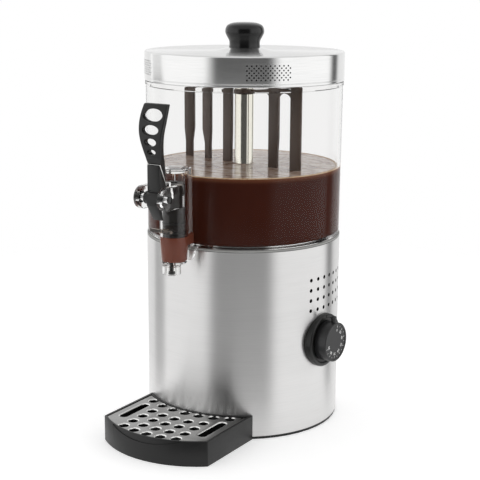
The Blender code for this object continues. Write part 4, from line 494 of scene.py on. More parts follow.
def softened(outline, steps=4):
    """The corners of a closed outline as arcs, where a point has a radius as its third value."""
    result = []
    for i, point in enumerate(outline):
        here = Vector(point[:2])
        back = Vector(outline[i - 1][:2]) - here
        ahead = Vector(outline[(i + 1) % len(outline)][:2]) - here
        if len(point) < 3 or back.angle(ahead) > STRAIGHT:
            result.append(tuple(here))
            continue
        half = back.angle(ahead) / 2
        reach = min(point[2] / math.tan(half), back.length * MOST_SHARE, ahead.length * MOST_SHARE)
        radius = reach * math.tan(half)
        centre = here + (back.normalized() + ahead.normalized()).normalized() * radius / math.sin(half)
        first = here + back.normalized() * reach - centre
        last = here + ahead.normalized() * reach - centre
        start = math.atan2(first.y, first.x)
        sweep = (math.atan2(last.y, last.x) - start + math.pi) % WHOLE_TURN - math.pi
        result += arc(centre, radius, start, start + sweep, steps)
    return result


def arc(centre, radius, start, end, steps):
    turn = (end - start) / steps
    return [
        (centre[0] + radius * math.cos(start + turn * i), centre[1] + radius * math.sin(start + turn * i))
        for i in range(steps + 1)
    ]


def oval(height, half_width, half_height, across=0.0, sides=ROUND_MEDIUM):
    turns = [WHOLE_TURN * i / sides for i in range(sides)]
    return [(across + half_width * math.cos(turn), height + half_height * math.sin(turn)) for turn in turns]


def smooth_run(points, between=4):
    """A smooth curve through a run of points of any number of values, with in-between points added."""
    result = []
    last = len(points) - 1
    for i in range(last):
        run = (points[max(i - 1, 0)], points[i], points[i + 1], points[min(i + 2, last)])
        for k in range(between):
            t = k / between
            result.append(tuple(between_values(t, *values) for values in zip(*run)))
    return result + [points[last]]


def between_values(t, a, b, c, d):
    """The value at a share t of the way from b to c, on a smooth curve through all four."""
    slope = c - a
    bend = 2 * a - 5 * b + 4 * c - d
    twist = 3 * b - a - 3 * c + d
    return 0.5 * (2 * b + slope * t + bend * t**2 + twist * t**3)


def turned(name, profile, sides=ROUND_LARGE, steps=4):
    """Spin a closed outline of (radius, height) points about the Z axis."""
    shape = bmesh.new()
    verts = [shape.verts.new((radius, 0, height)) for radius, height in softened(profile, steps)]
    edges = [shape.edges.new((verts[i - 1], verts[i])) for i in range(len(verts))]
    edges = [e for e in edges if e.verts[0].co.x > 0 or e.verts[1].co.x > 0]
    bmesh.ops.spin(
        shape, geom=verts + edges, cent=(0, 0, 0), axis=(0, 0, 1), angle=WHOLE_TURN, steps=sides,
        use_merge=True,
    )
    loose = [e for e in shape.edges if not e.link_faces]
    bmesh.ops.delete(shape, geom=loose, context="EDGES")
    return from_bmesh(name, shape)


def cylinder(name, radius, bottom, top, sides=ROUND_SMALL):
    return turned(name, ((0, bottom), (radius, bottom), (radius, top), (0, top)), sides)


def prism(name, outline, bottom, top, edge=0.0, steps=4):
    """Extrude a flat outline of (x, y) points from one height to another, with its edges rounded."""
    shape = bmesh.new()
    face = shape.faces.new([shape.verts.new((x, y, bottom)) for x, y in softened(outline, steps)])
    grown = bmesh.ops.extrude_face_region(shape, geom=[face])
    raised = [v for v in grown["geom"] if isinstance(v, bmesh.types.BMVert)]
    bmesh.ops.translate(shape, verts=raised, vec=(0, 0, top - bottom))
    bmesh.ops.recalc_face_normals(shape, faces=shape.faces)
    if edge:
        round_edges(shape, edge)
    return from_bmesh(name, shape)


def block(name, first, last, edge=0.0):
    """Box between two opposite corners."""
    outline = ((first[0], first[1]), (last[0], first[1]), (last[0], last[1]), (first[0], last[1]))
    return prism(name, outline, first[2], last[2], edge)


def round_edges(shape, width):
    """Bevel the sharp edges of a bmesh."""
    bevel(shape, [e for e in shape.edges if e.is_manifold and e.calc_face_angle(0) > SMOOTH_ANGLE], width, 2)


def bevel(shape, edges, width, segments):
    bmesh.ops.bevel(
        shape, geom=edges, offset=width, offset_type="OFFSET", segments=segments, profile=0.5, affect="EDGES",
        clamp_overlap=True, material=-1,
    )


def loft(shape, loops):
    """Join rings of edges one to the next, and close the two ends."""
    for below, above in zip(loops, loops[1:]):
        bmesh.ops.bridge_loops(shape, edges=below + above)
    for loop in (loops[0], loops[-1]):
        bmesh.ops.contextual_create(shape, geom=loop)


def edge_ring(shape, points):
    ring = [shape.verts.new(point) for point in points]
    return [shape.edges.new((ring[i - 1], ring[i])) for i in range(len(ring))]


def side_prism(name, outline, half_width, edge=0.0, steps=4):
    """Extrude a side outline of (reach forwards, height) points evenly to both sides."""
    made = prism(name, outline, -half_width, half_width, edge, steps)
    made.data.transform(Matrix(((0, 0, -1, 0), (-1, 0, 0, 0), (0, 1, 0, 0), (0, 0, 0, 1))))
    return made


def front_prism(name, outline, near, far, edge=0.0):
    """Extrude a front outline of (x, height) points from one reach to another, both towards -Y."""
    made = prism(name, outline, near, far, edge)
    made.data.transform(Matrix(((1, 0, 0, 0), (0, 0, -1, 0), (0, 1, 0, 0), (0, 0, 0, 1))))
    return made


def moved(thing, offset=(0, 0, 0), turn=None):
    """Turn and then shift a shape's mesh, leaving its object at the origin."""
    if turn is not None:
        thing.data.transform(turn.to_4x4())
    thing.data.transform(Matrix.Translation(offset))
    return thing


def round_body(thing, angle):
    return moved(thing, turn=Matrix.Rotation(angle, 3, "Z"))


def forward(thing, reach=TAP_REACH):
    """Shift a shape from the body's axis to the tap's, or another one in front of it."""
    return moved(thing, (0, -reach, 0))


def on_axle(thing):
    """Place a shape made along +Z on the lever's axle."""
    return moved(thing, PIVOT, Matrix.Rotation(math.pi / 2, 3, "Y"))


def pointing_out(thing, height):
    """Turn a shape made along +Z so that it points out of the front, at a height."""
    return moved(thing, (0, 0, height), Matrix.Rotation(math.pi / 2, 3, "X"))


def on_dial(thing):
    """Place a shape made along +Z, with distances from the body's axis, on the dial's axis."""
    return round_body(pointing_out(thing, DIAL_HEIGHT), DIAL_ANGLE)


def gather(things):
    """Put several objects' meshes into the first one, without a Boolean."""
    shape = bmesh.new()
    for thing in things:
        shape.from_mesh(thing.data)
    for other in things[1:]:
        bpy.data.objects.remove(other, do_unlink=True)
    shape.to_mesh(things[0].data)
    shape.free()
    return things[0]


def combine(target, tools, operation):
    """Boolean the tools into the target one after another, and delete them."""
    for tool in tools:
        step = target.modifiers.new(operation.lower(), "BOOLEAN")
        step.object = tool
        step.operation = operation
        step.solver = "EXACT"
        graph = bpy.context.evaluated_depsgraph_get()
        result = bpy.data.meshes.new_from_object(target.evaluated_get(graph), preserve_all_data_layers=False)
        target.modifiers.clear()
        target.data = result
        bpy.data.objects.remove(tool, do_unlink=True)
    return target


def cut(target, *tools):
    return combine(target, tools, "DIFFERENCE")


def join(target, *tools):
    return combine(target, tools, "UNION")


def soften(thing, width):
    """Round the sharp edges that Booleans left."""
    shape = bmesh.new()
    shape.from_mesh(thing.data)
    bmesh.ops.remove_doubles(shape, verts=shape.verts, dist=CUT_MERGE)
    bmesh.ops.dissolve_limit(
        shape, angle_limit=math.radians(1), verts=shape.verts, edges=shape.edges, delimit={"NORMAL"}
    )
    round_edges(shape, width)
    shape.to_mesh(thing.data)
    shape.free()
    return thing


def vents(diameter, near, far, sides, spots):
    """Cutters for round holes in a drum's wall, from (height, angle) spots."""
    tools = []
    for height, angle in spots:
        vent = cylinder("vent", diameter / 2, near, far, sides)
        tools.append(round_body(pointing_out(vent, height), angle))
    return gather(tools)


def straighten_shading(thing):
    """Give a drum's walls the normals of a true cylinder, so that cut holes don't mark its reflections."""
    mesh = thing.data
    mesh.shade_smooth()
    upright = 0.97
    normals = []
    for face in mesh.polygons:
        for index in face.loop_indices:
            spot = mesh.vertices[mesh.loops[index].vertex_index].co
            out = Vector((spot.x, spot.y, 0)).normalized()
            lean = face.normal.dot(out)
            normals.append(out if lean > upright else -out if lean < -upright else face.normal)
    mesh.normals_split_custom_set(normals)


def place(thing, name, finish_name, body, slot, *nodes, shade=True):
    """Name a finished piece, give it its finish, and let it ride on its body in place of its CAD nodes."""
    thing.name = name
    thing.data.name = name
    thing.data.materials.clear()
    thing.data.materials.append(look(finish_name))
    if shade:
        thing.data.shade_smooth()
        thing.data.set_sharp_from_angle(angle=SMOOTH_ANGLE)
    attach(thing, body)
    if nodes:
        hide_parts(*nodes)
    return thing


def dress(finish_name, *nodes):
    """Give CAD nodes that stay in sight their finish."""
    for node in nodes:
        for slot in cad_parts[node].material_slots:
            slot.link = "DATA"
            slot.material = look(finish_name)


class DispenserStudio(bpy.types.PropertyGroup):
    """Camera, light and floor."""

    camera_place: bpy.props.FloatVectorProperty(
        name="Camera place", description="Where the camera stands", size=3, subtype="XYZ", unit="LENGTH",
        default=(0.7300, -1.1641, 0.5169),
    )
    camera_turn: bpy.props.FloatProperty(
        name="Camera turn", description="Heading of the view, counted from +Y towards -X", subtype="ANGLE",
        default=math.radians(32.261),
    )
    camera_dip: bpy.props.FloatProperty(
        name="Camera dip", description="How far the view looks down", subtype="ANGLE",
        default=math.radians(12.648),
    )
    camera_roll: bpy.props.FloatProperty(
        name="Camera roll", description="Lean of the camera", subtype="ANGLE", default=math.radians(0.335)
    )
    lens: bpy.props.FloatProperty(
        name="Lens", description="Focal length in millimetres on a 36 mm frame", default=87.72, min=10
    )
    floor_radius: bpy.props.FloatProperty(
        name="Floor radius", description="Radius of the pale floor", default=1.6, unit="LENGTH", min=0.3
    )
    light: bpy.props.FloatProperty(
        name="Light", description="Strength of the light from all round", default=1.0, min=0
    )


class DispenserSizes(bpy.types.PropertyGroup):
    """Sizes of the fine pieces."""

    body_wall: bpy.props.FloatProperty(
        name="Body wall", description="Sheet thickness of the drum", default=0.0014, unit="LENGTH", min=0.0005
    )
    tank_wall: bpy.props.FloatProperty(
        name="Tank wall", description="Thickness of the clear wall", default=0.0032, unit="LENGTH", min=0.001
    )
    fill_height: bpy.props.FloatProperty(
        name="Fill height", description="Height of the chocolate's surface", default=0.3020, unit="LENGTH",
        min=TANK_LOW + 0.01, max=TANK_HIGH - 0.01,
    )
    vent_diameter: bpy.props.FloatProperty(
        name="Vent diameter", description="Diameter of the vents in the drum", default=0.0045, unit="LENGTH",
        min=0.001,
    )
    lid_vent_diameter: bpy.props.FloatProperty(
        name="Lid vent diameter", description="Diameter of the small vents in the lid", default=0.0019,
        unit="LENGTH", min=0.0005,
    )


class DISPENSER_OT_stage(bpy.types.Operator):
    """Set up the camera, the light from all round and the pale floor"""

    bl_idname = "dispenser.stage"
    bl_label = "Stage"

    # Distances from the middle at which the floor fades out, to the eye and in metal
    seen_fade = (0.95, 0.55)
    mirrored_fade = (0.34, 0.17)
    floor_gap = 0.0001
    # Strengths of the light
    dim = 0.10
    panel = 1.15
    white = 0.90
    ceiling = 0.80
    ground = 0.85
    # Headings in degrees, towards +X from -Y, where a light begins, is full, begins to fade and ends
    left_panel = (-78, -70, -16, 2)
    right_panel = (58, 76, 142, 154)
    beside_tray = (-104, -96, -76, -66)
    # Headings where the white behind begins and is full
    behind_right = (158, 168)
    behind_left = (-94, -102)
    # Heights of the view's direction, from -1 straight down to 1 straight up, in the same way
    low_stand = (-0.33, -0.28, -0.16, -0.12)
    overhead = (0.35, 0.75)
    below = (-0.25, -0.42)

    def execute(self, context):
        studio = context.scene.dispenser_studio
        self.add_camera(context, studio)
        self.add_floor(studio)
        self.light_world(context, studio)
        context.scene.view_settings.view_transform = "Standard"
        return {"FINISHED"}

    def add_camera(self, context, studio):
        data = bpy.data.cameras.new("Camera")
        data.lens = studio.lens
        camera = linked("Camera", data)
        turn = Matrix.Rotation(studio.camera_turn, 4, "Z")
        level = Matrix.Rotation(math.pi / 2 - studio.camera_dip, 4, "X")
        roll = Matrix.Rotation(studio.camera_roll, 4, "Z")
        camera.matrix_world = Matrix.Translation(studio.camera_place) @ turn @ level @ roll
        context.scene.camera = camera

    def add_floor(self, studio):
        shape = bmesh.new()
        bmesh.ops.create_circle(shape, cap_ends=True, segments=ROUND_LARGE, radius=studio.floor_radius)
        floor = from_bmesh("studio_floor", shape)
        floor.data.materials.append(painted("Studio floor", self.paint_floor))
        floor.location.z = CAD_BOX[0][2] - self.floor_gap

    def paint_floor(self, nodes):
        """Pale floor near the machine, which fades into the white beyond. Metal sees less of it."""
        x, y, _ = nodes.parts()
        radius = (x * x + y * y) ** 0.5
        mirror = nodes.add("LightPath", output="Is Glossy Ray")
        seen = nodes.step(radius, *self.seen_fade)
        mirrored = nodes.step(radius, *self.mirrored_fade)
        cover = seen * (1 - mirror) + mirrored * mirror
        grain = nodes.noise(nodes.place(), 25.0, 2.0)
        surface = nodes.shader(
            {
                "Base Color": nodes.blend(grain, (0.93, 0.93, 0.93, 1), (0.95, 0.95, 0.95, 1)),
                "Roughness": 0.7,
                "Specular IOR Level": 0.0,
                "Emission Color": (1, 1, 1, 1),
                "Emission Strength": 0.37,
            }
        )
        nodes.output(nodes.mixed(cover, nodes.add("BsdfTransparent"), surface))

    def light_world(self, context, studio):
        """White behind the machine, bright soft panels at both sides and a dim room round the camera."""
        world = bpy.data.worlds.new("Studio")
        context.scene.world = world
        nodes = Nodes(world)
        x, y, z = nodes.parts("Generated")
        heading = x.maths("ARCTAN2", x, y * -1) * (180 / math.pi)
        panels = nodes.band(heading, *self.left_panel) + nodes.band(heading, *self.right_panel)
        behind = nodes.step(heading, *self.behind_right) + nodes.step(heading, *self.behind_left)
        beside = nodes.band(heading, *self.beside_tray) * (1 - nodes.band(z, *self.low_stand))
        level = panels * (self.panel - self.dim) + (behind + beside) * (self.white - self.dim) + self.dim
        overhead = nodes.step(z, *self.overhead)
        level = level * (1 - overhead) + overhead * self.ceiling
        below = nodes.step(z, *self.below)
        level = level * (1 - below) + below * self.ground
        level = level.maths("MINIMUM", level, self.panel)
        seen = nodes.add("LightPath", output="Is Camera Ray")
        strength = seen + (1 - seen) * level * studio.light
        background = nodes.add("Background", None, {"Color": (1, 1, 1, 1), "Strength": strength})
        nodes.output(background, "OutputWorld")


class DISPENSER_OT_body(bpy.types.Operator):
    """Make the drum with its vents and slots, and the ring that the tank stands on"""

    bl_idname = "dispenser.body"
    bl_label = "Drum"

    vent_rows = 4
    vent_columns = 7
    vent_lowest = 0.1446
    vent_row_pitch = 0.0120
    vent_first_angle = math.radians(74.6)
    vent_angle_pitch = math.radians(5.98)
    rolled_edge_share = 0.45
    spindle_radius = 0.0050
    inlet_radius = 0.0075
    switch_gap = 0.0018
    slot_half = 0.0075
    slot_low = 0.0145
    slot_top = 0.0195

    def execute(self, context):
        sizes = context.scene.dispenser_sizes
        bottom = low("body_shell").z
        top = high("body_shell").z
        inner = BODY_RADIUS - sizes.body_wall
        edge = sizes.body_wall * self.rolled_edge_share
        profile = ((inner, bottom), (BODY_RADIUS, bottom, edge), (BODY_RADIUS, top, edge), (inner, top, edge))
        drum = turned("drum", profile, ROUND_BODY)
        spots = [
            (
                self.vent_lowest + self.vent_row_pitch * row,
                self.vent_first_angle + self.vent_angle_pitch * column,
            )
            for row in range(self.vent_rows)
            for column in range(self.vent_columns)
        ]
        near = BODY_RADIUS - OVERRUN
        far = BODY_RADIUS + OVERRUN
        cut(drum, vents(sizes.vent_diameter, near, far, ROUND_SMALL, spots), *self.openings(near, far))
        straighten_shading(drum)
        place(drum, "steel_drum", "Brushed body steel", "base", "brushed_steel", "body_shell", shade=False)
        self.add_seat(top, inner - CLEARANCE)
        dress("Satin black plastic", "base_cover")
        return {"FINISHED"}

    def add_seat(self, drum_top, step):
        bottom = low("seat_ring").z
        top = high("seat_ring").z
        outer = high("seat_ring").x
        shelf = drum_top + CLEARANCE
        plate = high("heating_plate").x + CLEARANCE
        profile = (
            (plate, bottom), (step, bottom), (step, shelf), (outer, shelf, THIN), (outer, top, SMALL),
            (plate, top, THIN),
        )
        ring = turned("ring", profile, ROUND_BODY)
        place(ring, "tank_seat", "Grey seat rubber", "base", "rubber", "seat_ring")

    def openings(self, near, far):
        """Holes for the dial's spindle, the switch, the cable inlet and the tray's two tabs."""
        spindle = on_dial(cylinder("spindle", self.spindle_radius, near, far))
        first = low("switch_rocker")
        last = high("switch_rocker")
        gap = self.switch_gap
        switch = block("switch", (-far, first.y - gap, first.z - gap), (-near, last.y + gap, last.z + gap))
        inlet = cylinder("inlet", self.inlet_radius, near, far)
        round_body(pointing_out(inlet, middle("cable_inlet").z), math.pi)
        half = self.slot_half
        slots = [
            block("slot", (x - half, -far, self.slot_low), (x + half, 0, self.slot_top))
            for x in (-TAB_REACH, TAB_REACH)
        ]
        return [spindle, switch, inlet, *slots]


class DISPENSER_OT_heater(bpy.types.Operator):
    """Make the heating plate and the polished column, and finish the works inside the drum"""

    bl_idname = "dispenser.heater"
    bl_label = "Heater and column"

    plate_bore = 0.0073
    plate_radius = 0.0995
    plate_flange = 0.0020
    column_wall = 0.0014
    works = {
        "Plain steel": (
            "top_frame", "heating_element", "drive_shaft", "shaft_coupling", "dial_spindle", "knob_screw",
        ),
        "Zinc plate": (
            "gearbox", "motor_bracket", "motor_screw_1", "motor_screw_2", "bracket_post_1", "bracket_post_2",
            "base_screw_1", "base_screw_2", "base_screw_3", "base_screw_4",
        ),
        "Motor paint": ("drive_motor",),
        "Bush bronze": ("lower_bush", "upper_bush"),
        "Ceramic": ("terminal_block", "safety_cutout", "thermostat_body"),
        "Black rubber": ("tank_seal",),
    }

    def execute(self, context):
        bottom = low("heating_plate").z
        top = high("heating_plate").z
        flange = high("heating_plate").x
        flange_top = bottom + self.plate_flange
        profile = (
            (self.plate_bore, bottom), (flange, bottom), (flange, flange_top, FINE),
            (self.plate_radius, flange_top, SMALL), (self.plate_radius, top, SOFT), (self.plate_bore, top),
        )
        plate = turned("plate", profile, ROUND_BODY)
        place(plate, "hot_plate", "Polished steel", "base", "polished_steel", "heating_plate")
        foot = low("column_tube").z
        top = high("column_tube").z
        flange = high("column_tube").x
        inner = COLUMN_RADIUS - self.column_wall
        profile = (
            (inner, foot), (flange, foot), (flange, foot + COLUMN_FLANGE, SMALL),
            (COLUMN_RADIUS, foot + COLUMN_FLANGE, EASY), (COLUMN_RADIUS, top, FINE), (inner, top),
        )
        column = turned("column", profile)
        place(column, "polished_column", "Polished column steel", "base", "polished_steel", "column_tube")
        for finish_name, nodes in self.works.items():
            dress(finish_name, *nodes)
        return {"FINISHED"}


class DISPENSER_OT_tank(bpy.types.Operator):
    """Make the clear tank with its hook, and the hot chocolate in it"""

    bl_idname = "dispenser.tank"
    bl_label = "Tank"

    floor_thick = 0.0030
    floor_inner = 0.1005
    corner_steps = 6
    foot_edge = 0.0016
    rim_height = 0.0044
    fillet = 0.0030
    # How far the drink's surface curves up at the wall and at the column, and how high
    wall_creep = 0.0040
    column_creep = 0.0030
    wall_climb = 0.0006
    column_climb = 0.0008
    foam_lip = 0.0002
    plate_gap = 0.0001
    hook_half = 0.0065
    hook_edge = 0.0025
    groove_half = 0.0040
    groove_depth = 0.0014
    groove_low = 0.0035
    groove_top = 0.0030

    def outer(self, height):
        share = (height - TANK_LOW) / (TANK_HIGH - TANK_LOW)
        return TANK_RADIUS_LOW + (TANK_RADIUS_HIGH - TANK_RADIUS_LOW) * share

    def execute(self, context):
        sizes = context.scene.dispenser_sizes
        wall = sizes.tank_wall
        floor = TANK_LOW + self.floor_thick
        rim = high("tank").x
        rim_low = TANK_HIGH - self.rim_height
        profile = (
            (self.floor_inner, TANK_LOW), (TANK_RADIUS_LOW, TANK_LOW, self.foot_edge),
            (self.outer(rim_low - EASY), rim_low - EASY, FINE), (rim, rim_low, FINE), (rim, TANK_HIGH, BROAD),
            (TANK_RADIUS_HIGH - wall, TANK_HIGH, SMALL), (TANK_RADIUS_LOW - wall, floor, self.fillet),
            (self.floor_inner, floor, FINE),
        )
        tank = turned("tank_wall", profile, ROUND_BODY, self.corner_steps)
        place(tank, "clear_tank", "Clear tank plastic", "tank_unit", "clear", "tank")
        self.pour(sizes, wall, floor - WET)
        self.add_hook()
        return {"FINISHED"}

    def pour(self, sizes, wall, floor):
        level = sizes.fill_height
        outer = self.outer(level) - wall + WET
        floor_outer = self.floor_inner - CLEARANCE
        plate = high("heating_plate").z + self.plate_gap
        column = COLUMN_RADIUS + CLEARANCE
        foot = high("column_tube").x + CLEARANCE
        foot_top = low("column_tube").z + COLUMN_FLANGE + CLEARANCE
        profile = (
            (column, foot_top), (foot, foot_top), (foot, plate), (floor_outer, plate), (floor_outer, floor),
            (TANK_RADIUS_LOW - wall + WET, floor, self.fillet), (outer, level + self.wall_climb, THIN),
            (outer - BROAD, level + self.foam_lip, EASY), (outer - self.wall_creep, level, self.wall_creep),
            (column + self.column_creep, level, self.column_creep), (column, level + self.column_climb),
        )
        liquid = turned("liquid", profile, ROUND_BODY, self.corner_steps)
        painted("Hot chocolate", partial(paint_chocolate, code=0x3A1A12, level=level))
        place(liquid, "chocolate_in_tank", "Hot chocolate", "tank_unit", "paddle_brown")

    def add_hook(self):
        first = low("tank_hook")
        last = high("tank_hook")
        half = self.hook_half
        edge = self.hook_edge
        outline = (
            (first.x, last.z, EASY), (-half, first.z, edge), (half, first.z, edge), (last.x, last.z, EASY)
        )
        hook = front_prism("hook", outline, BODY_RADIUS - OVERRUN, -first.y)
        body = BODY_RADIUS + CLEARANCE
        tank = TANK_RADIUS_LOW + CLEARANCE
        under = first.z - OVERRUN
        over = last.z + OVERRUN
        profile = ((0, under), (body, under), (body, TANK_LOW), (tank, TANK_LOW), (tank, over), (0, over))
        groove = block(
            "groove",
            (-self.groove_half, first.y - OVERRUN, first.z + self.groove_low),
            (self.groove_half, first.y + self.groove_depth, last.z - self.groove_top),
        )
        cut(hook, turned("inside", profile, ROUND_BODY), groove)
        place(soften(hook, SLIM), "clear_hook", "Clear plastic", "tank_unit", "clear", "tank_hook")


class DISPENSER_OT_tap(bpy.types.Operator):
    """Make the clear tap with its nozzle, cap, plunger, rings, spring and the chocolate in it"""

    bl_idname = "dispenser.tap"
    bl_label = "Tap"

    barrel_radius = 0.0158
    barrel_bore = 0.0130
    barrel_low = 0.2380
    barrel_fillet = 0.0200
    cup_low_radius = 0.0140
    cup_floor = 0.0026
    port_width = 0.0064
    port_low = 0.2266
    port_height = 0.0104
    port_end = 0.1110
    outlet_radius = 0.0042
    passage_width = 0.0116
    passage_wall = 0.0024
    web_thick = 0.0078
    ear_radius = 0.0124
    ear_inner = 0.0115
    ear_thick = 0.0075
    ear_back_reach = 0.1500
    finger_half = 0.0047
    finger_room = 0.0034
    slot_rise = 0.0142
    # How far the clear tap reaches into the tank's wall, so that no air gap shows between them
    weld = 0.0005
    liquid_drop = 0.0042
    # The drink in the tap shows no surface, so its finish has its level out of reach
    far_above = 1.0
    skirt_wall = 0.0013
    skirt_height = 0.0106
    nozzle_plate = 0.0018
    spout_radius = 0.0052
    spout_bore = 0.0032
    spout_lip = 0.0012
    plug_depth = 0.0030
    post_radius = 0.0015
    collar_radius = 0.0040
    collar_height = 0.0020
    cap_edge = 0.0009
    stop_half = 0.0035
    stop_half_thick = 0.00105
    plunger_radius = 0.0124
    plunger_foot = 0.0045
    plunger_bore = 0.0046
    plunger_floor = 0.0100
    ring_groove = 0.0017
    groove_edge = 0.0002
    window_length = 0.0295
    stem_radius = 0.0022
    stem_room = 0.0024
    tip_radius = 0.0037
    wire = 0.0005
    coil = 0.0034
    curls = 7
    curl_steps = 20
    stroke = 0.0108

    def execute(self, context):
        self.bottom = low("tap_body").z
        self.top = high("tap_body").z
        self.cup_bore = self.cup_low_radius - self.barrel_radius + self.barrel_bore
        self.add_body(context)
        self.add_liquid()
        self.add_nozzle()
        self.add_cap()
        self.add_stop()
        self.add_plunger()
        self.add_spring()
        return {"FINISHED"}

    def beam(self, name, width, bottom, top, end, edge=0.0):
        """A beam from the barrel's axis back to the tank."""
        return block(name, (-width / 2, -TAP_REACH, bottom), (width / 2, -end, top), edge)

    def add_body(self, context):
        end = TANK_RADIUS_LOW - context.scene.dispenser_sizes.tank_wall
        radius = self.barrel_radius
        profile = (
            (0, self.bottom), (self.cup_low_radius, self.bottom, FULL),
            (radius, self.barrel_low, self.barrel_fillet), (radius, self.top, BROAD), (0, self.top),
        )
        body = forward(turned("barrel", profile))
        web = self.beam("web", self.web_thick, self.barrel_low - SMALL, self.top - EASY, end, EASY)
        port_top = self.port_low + self.port_height
        under = self.port_low - self.passage_wall
        passage = self.beam("passage", self.passage_width, under, port_top + self.passage_wall, end, BROAD)
        join(body, web, passage)
        for side in (-1, 1):
            outline = arc((-PIVOT.y, PIVOT.z), self.ear_radius, -math.pi / 2, math.pi / 2, ROUND_SMALL)
            outline.append((self.ear_back_reach, PIVOT.z + self.ear_radius))
            outline.append((self.ear_back_reach, PIVOT.z - self.ear_radius))
            ear = side_prism("ear", outline, self.ear_thick / 2, SMALL)
            join(body, moved(ear, (side * (self.ear_inner + self.ear_thick / 2), 0, 0)))
        cup_bottom = self.bottom + self.cup_floor
        over = self.top + OVERRUN
        profile = (
            (0, cup_bottom), (self.cup_bore, cup_bottom, FULL), (self.barrel_bore, self.barrel_low),
            (self.barrel_bore, over), (0, over),
        )
        bore = forward(turned("bore", profile))
        channel = self.beam("channel", self.port_width, self.port_low, port_top, end - OVERRUN)
        outlet = cylinder("outlet", self.outlet_radius, self.bottom - OVERRUN, self.bottom + OVERRUN)
        slot = block(
            "slot",
            (-self.finger_half, -TAP_REACH - radius - OVERRUN, PIVOT.z - self.finger_room),
            (self.finger_half, -TAP_REACH, PIVOT.z + self.slot_rise),
        )
        join(bore, channel, forward(outlet, NOZZLE_REACH), slot)
        under = TANK_LOW - OVERRUN
        profile = (
            (0, under), (TANK_RADIUS_LOW - self.weld, under), (TANK_RADIUS_HIGH - self.weld, TANK_HIGH),
            (0, TANK_HIGH),
        )
        clear = turned("clear", profile, ROUND_BODY)
        reach = self.ear_inner + self.ear_thick + OVERRUN
        cut(body, clear, on_axle(cylinder("axle", AXLE_RADIUS + CLEARANCE, -reach, reach)), bore)
        place(body, "clear_tap", "Clear plastic", "tank_unit", "clear", "tap_body")

    def add_liquid(self):
        bottom = self.bottom + self.cup_floor - WET
        top = low("plunger_ring_1").z - self.liquid_drop
        bore = self.barrel_bore + WET
        profile = (
            (0, bottom), (self.cup_bore + WET, bottom, FULL), (bore, self.barrel_low), (bore, top - FINE),
            (0, top - FINE),
        )
        liquid = forward(turned("cup", profile))
        channel = self.beam(
            "channel", self.port_width + 2 * WET, self.port_low - WET, self.port_low + self.port_height + WET,
            self.port_end,
        )
        stem = forward(cylinder("stem", self.stem_room, bottom - OVERRUN, top + OVERRUN), NOZZLE_REACH)
        cut(join(liquid, channel), stem)
        # Painted light: the same drink as in the tank, painted lighter and redder to stand in for light
        # through its thin layer in the clear tap
        painted("Chocolate in the tap", partial(paint_chocolate, code=0x6A3B2E, level=self.far_above))
        place(liquid, "chocolate_in_tap", "Chocolate in the tap", "tank_unit", "paddle_brown")

    def add_nozzle(self):
        top = high("tap_nozzle").z
        end = low("tap_nozzle").z
        skirt = (high("tap_nozzle").x - low("tap_nozzle").x) / 2
        inner = skirt - self.skirt_wall
        skirt_end = top - self.skirt_height
        plate = top - self.nozzle_plate
        lip = end + self.spout_lip
        outer = self.spout_radius
        bore = self.spout_bore
        profile = (
            (self.outlet_radius, top), (skirt, top, SMALL), (skirt, skirt_end, SLIM),
            (inner, skirt_end, SLIM), (inner, plate, SMALL), (outer, plate, SMALL), (outer, end, THIN),
            (bore, end, HAIR), (bore, lip), (self.outlet_radius, lip),
        )
        nozzle = forward(turned("nozzle", profile, ROUND_MEDIUM), NOZZLE_REACH)
        place(nozzle, "clear_nozzle", "Clear plastic", "tank_unit", "clear", "tap_nozzle")

    def add_cap(self):
        top = high("tap_cap").z
        foot = low("tap_cap").z
        flange = self.top + CLEARANCE
        plug = self.barrel_bore - CLEARANCE
        plug_low = self.top - self.plug_depth
        collar_top = foot + self.collar_height
        collar = self.collar_radius
        post = self.post_radius
        outer = self.barrel_radius
        profile = (
            (0, foot), (collar, foot, THIN), (collar, collar_top, THIN), (post, collar_top),
            (post, plug_low, FINE), (plug, plug_low, SLIM), (plug, flange), (outer, flange, HAIR),
            (outer, top, self.cap_edge), (0, top),
        )
        place(forward(turned("cap", profile)), "clear_cap", "Clear plastic", "tank_unit", "clear", "tap_cap")

    def add_stop(self):
        first = low("tap_stop")
        last = high("tap_stop")
        bar_back = first.y + (last.z - first.z)
        bar = block("bar", first, (last.x, bar_back, last.z), EASY)
        centre = (first.z + last.z) / 2
        half = self.stop_half
        thick = self.stop_half_thick
        stem = block("stem", (-half, bar_back - EASY, centre - thick), (half, -TAP_REACH, centre + thick))
        barrel = cylinder("barrel", self.barrel_radius + CLEARANCE, self.barrel_low, self.top, ROUND_LARGE)
        cut(stem, forward(barrel))
        join(bar, stem)
        place(bar, "smoked_stop", "Smoked plastic", "tank_unit", "smoked", "tap_stop")

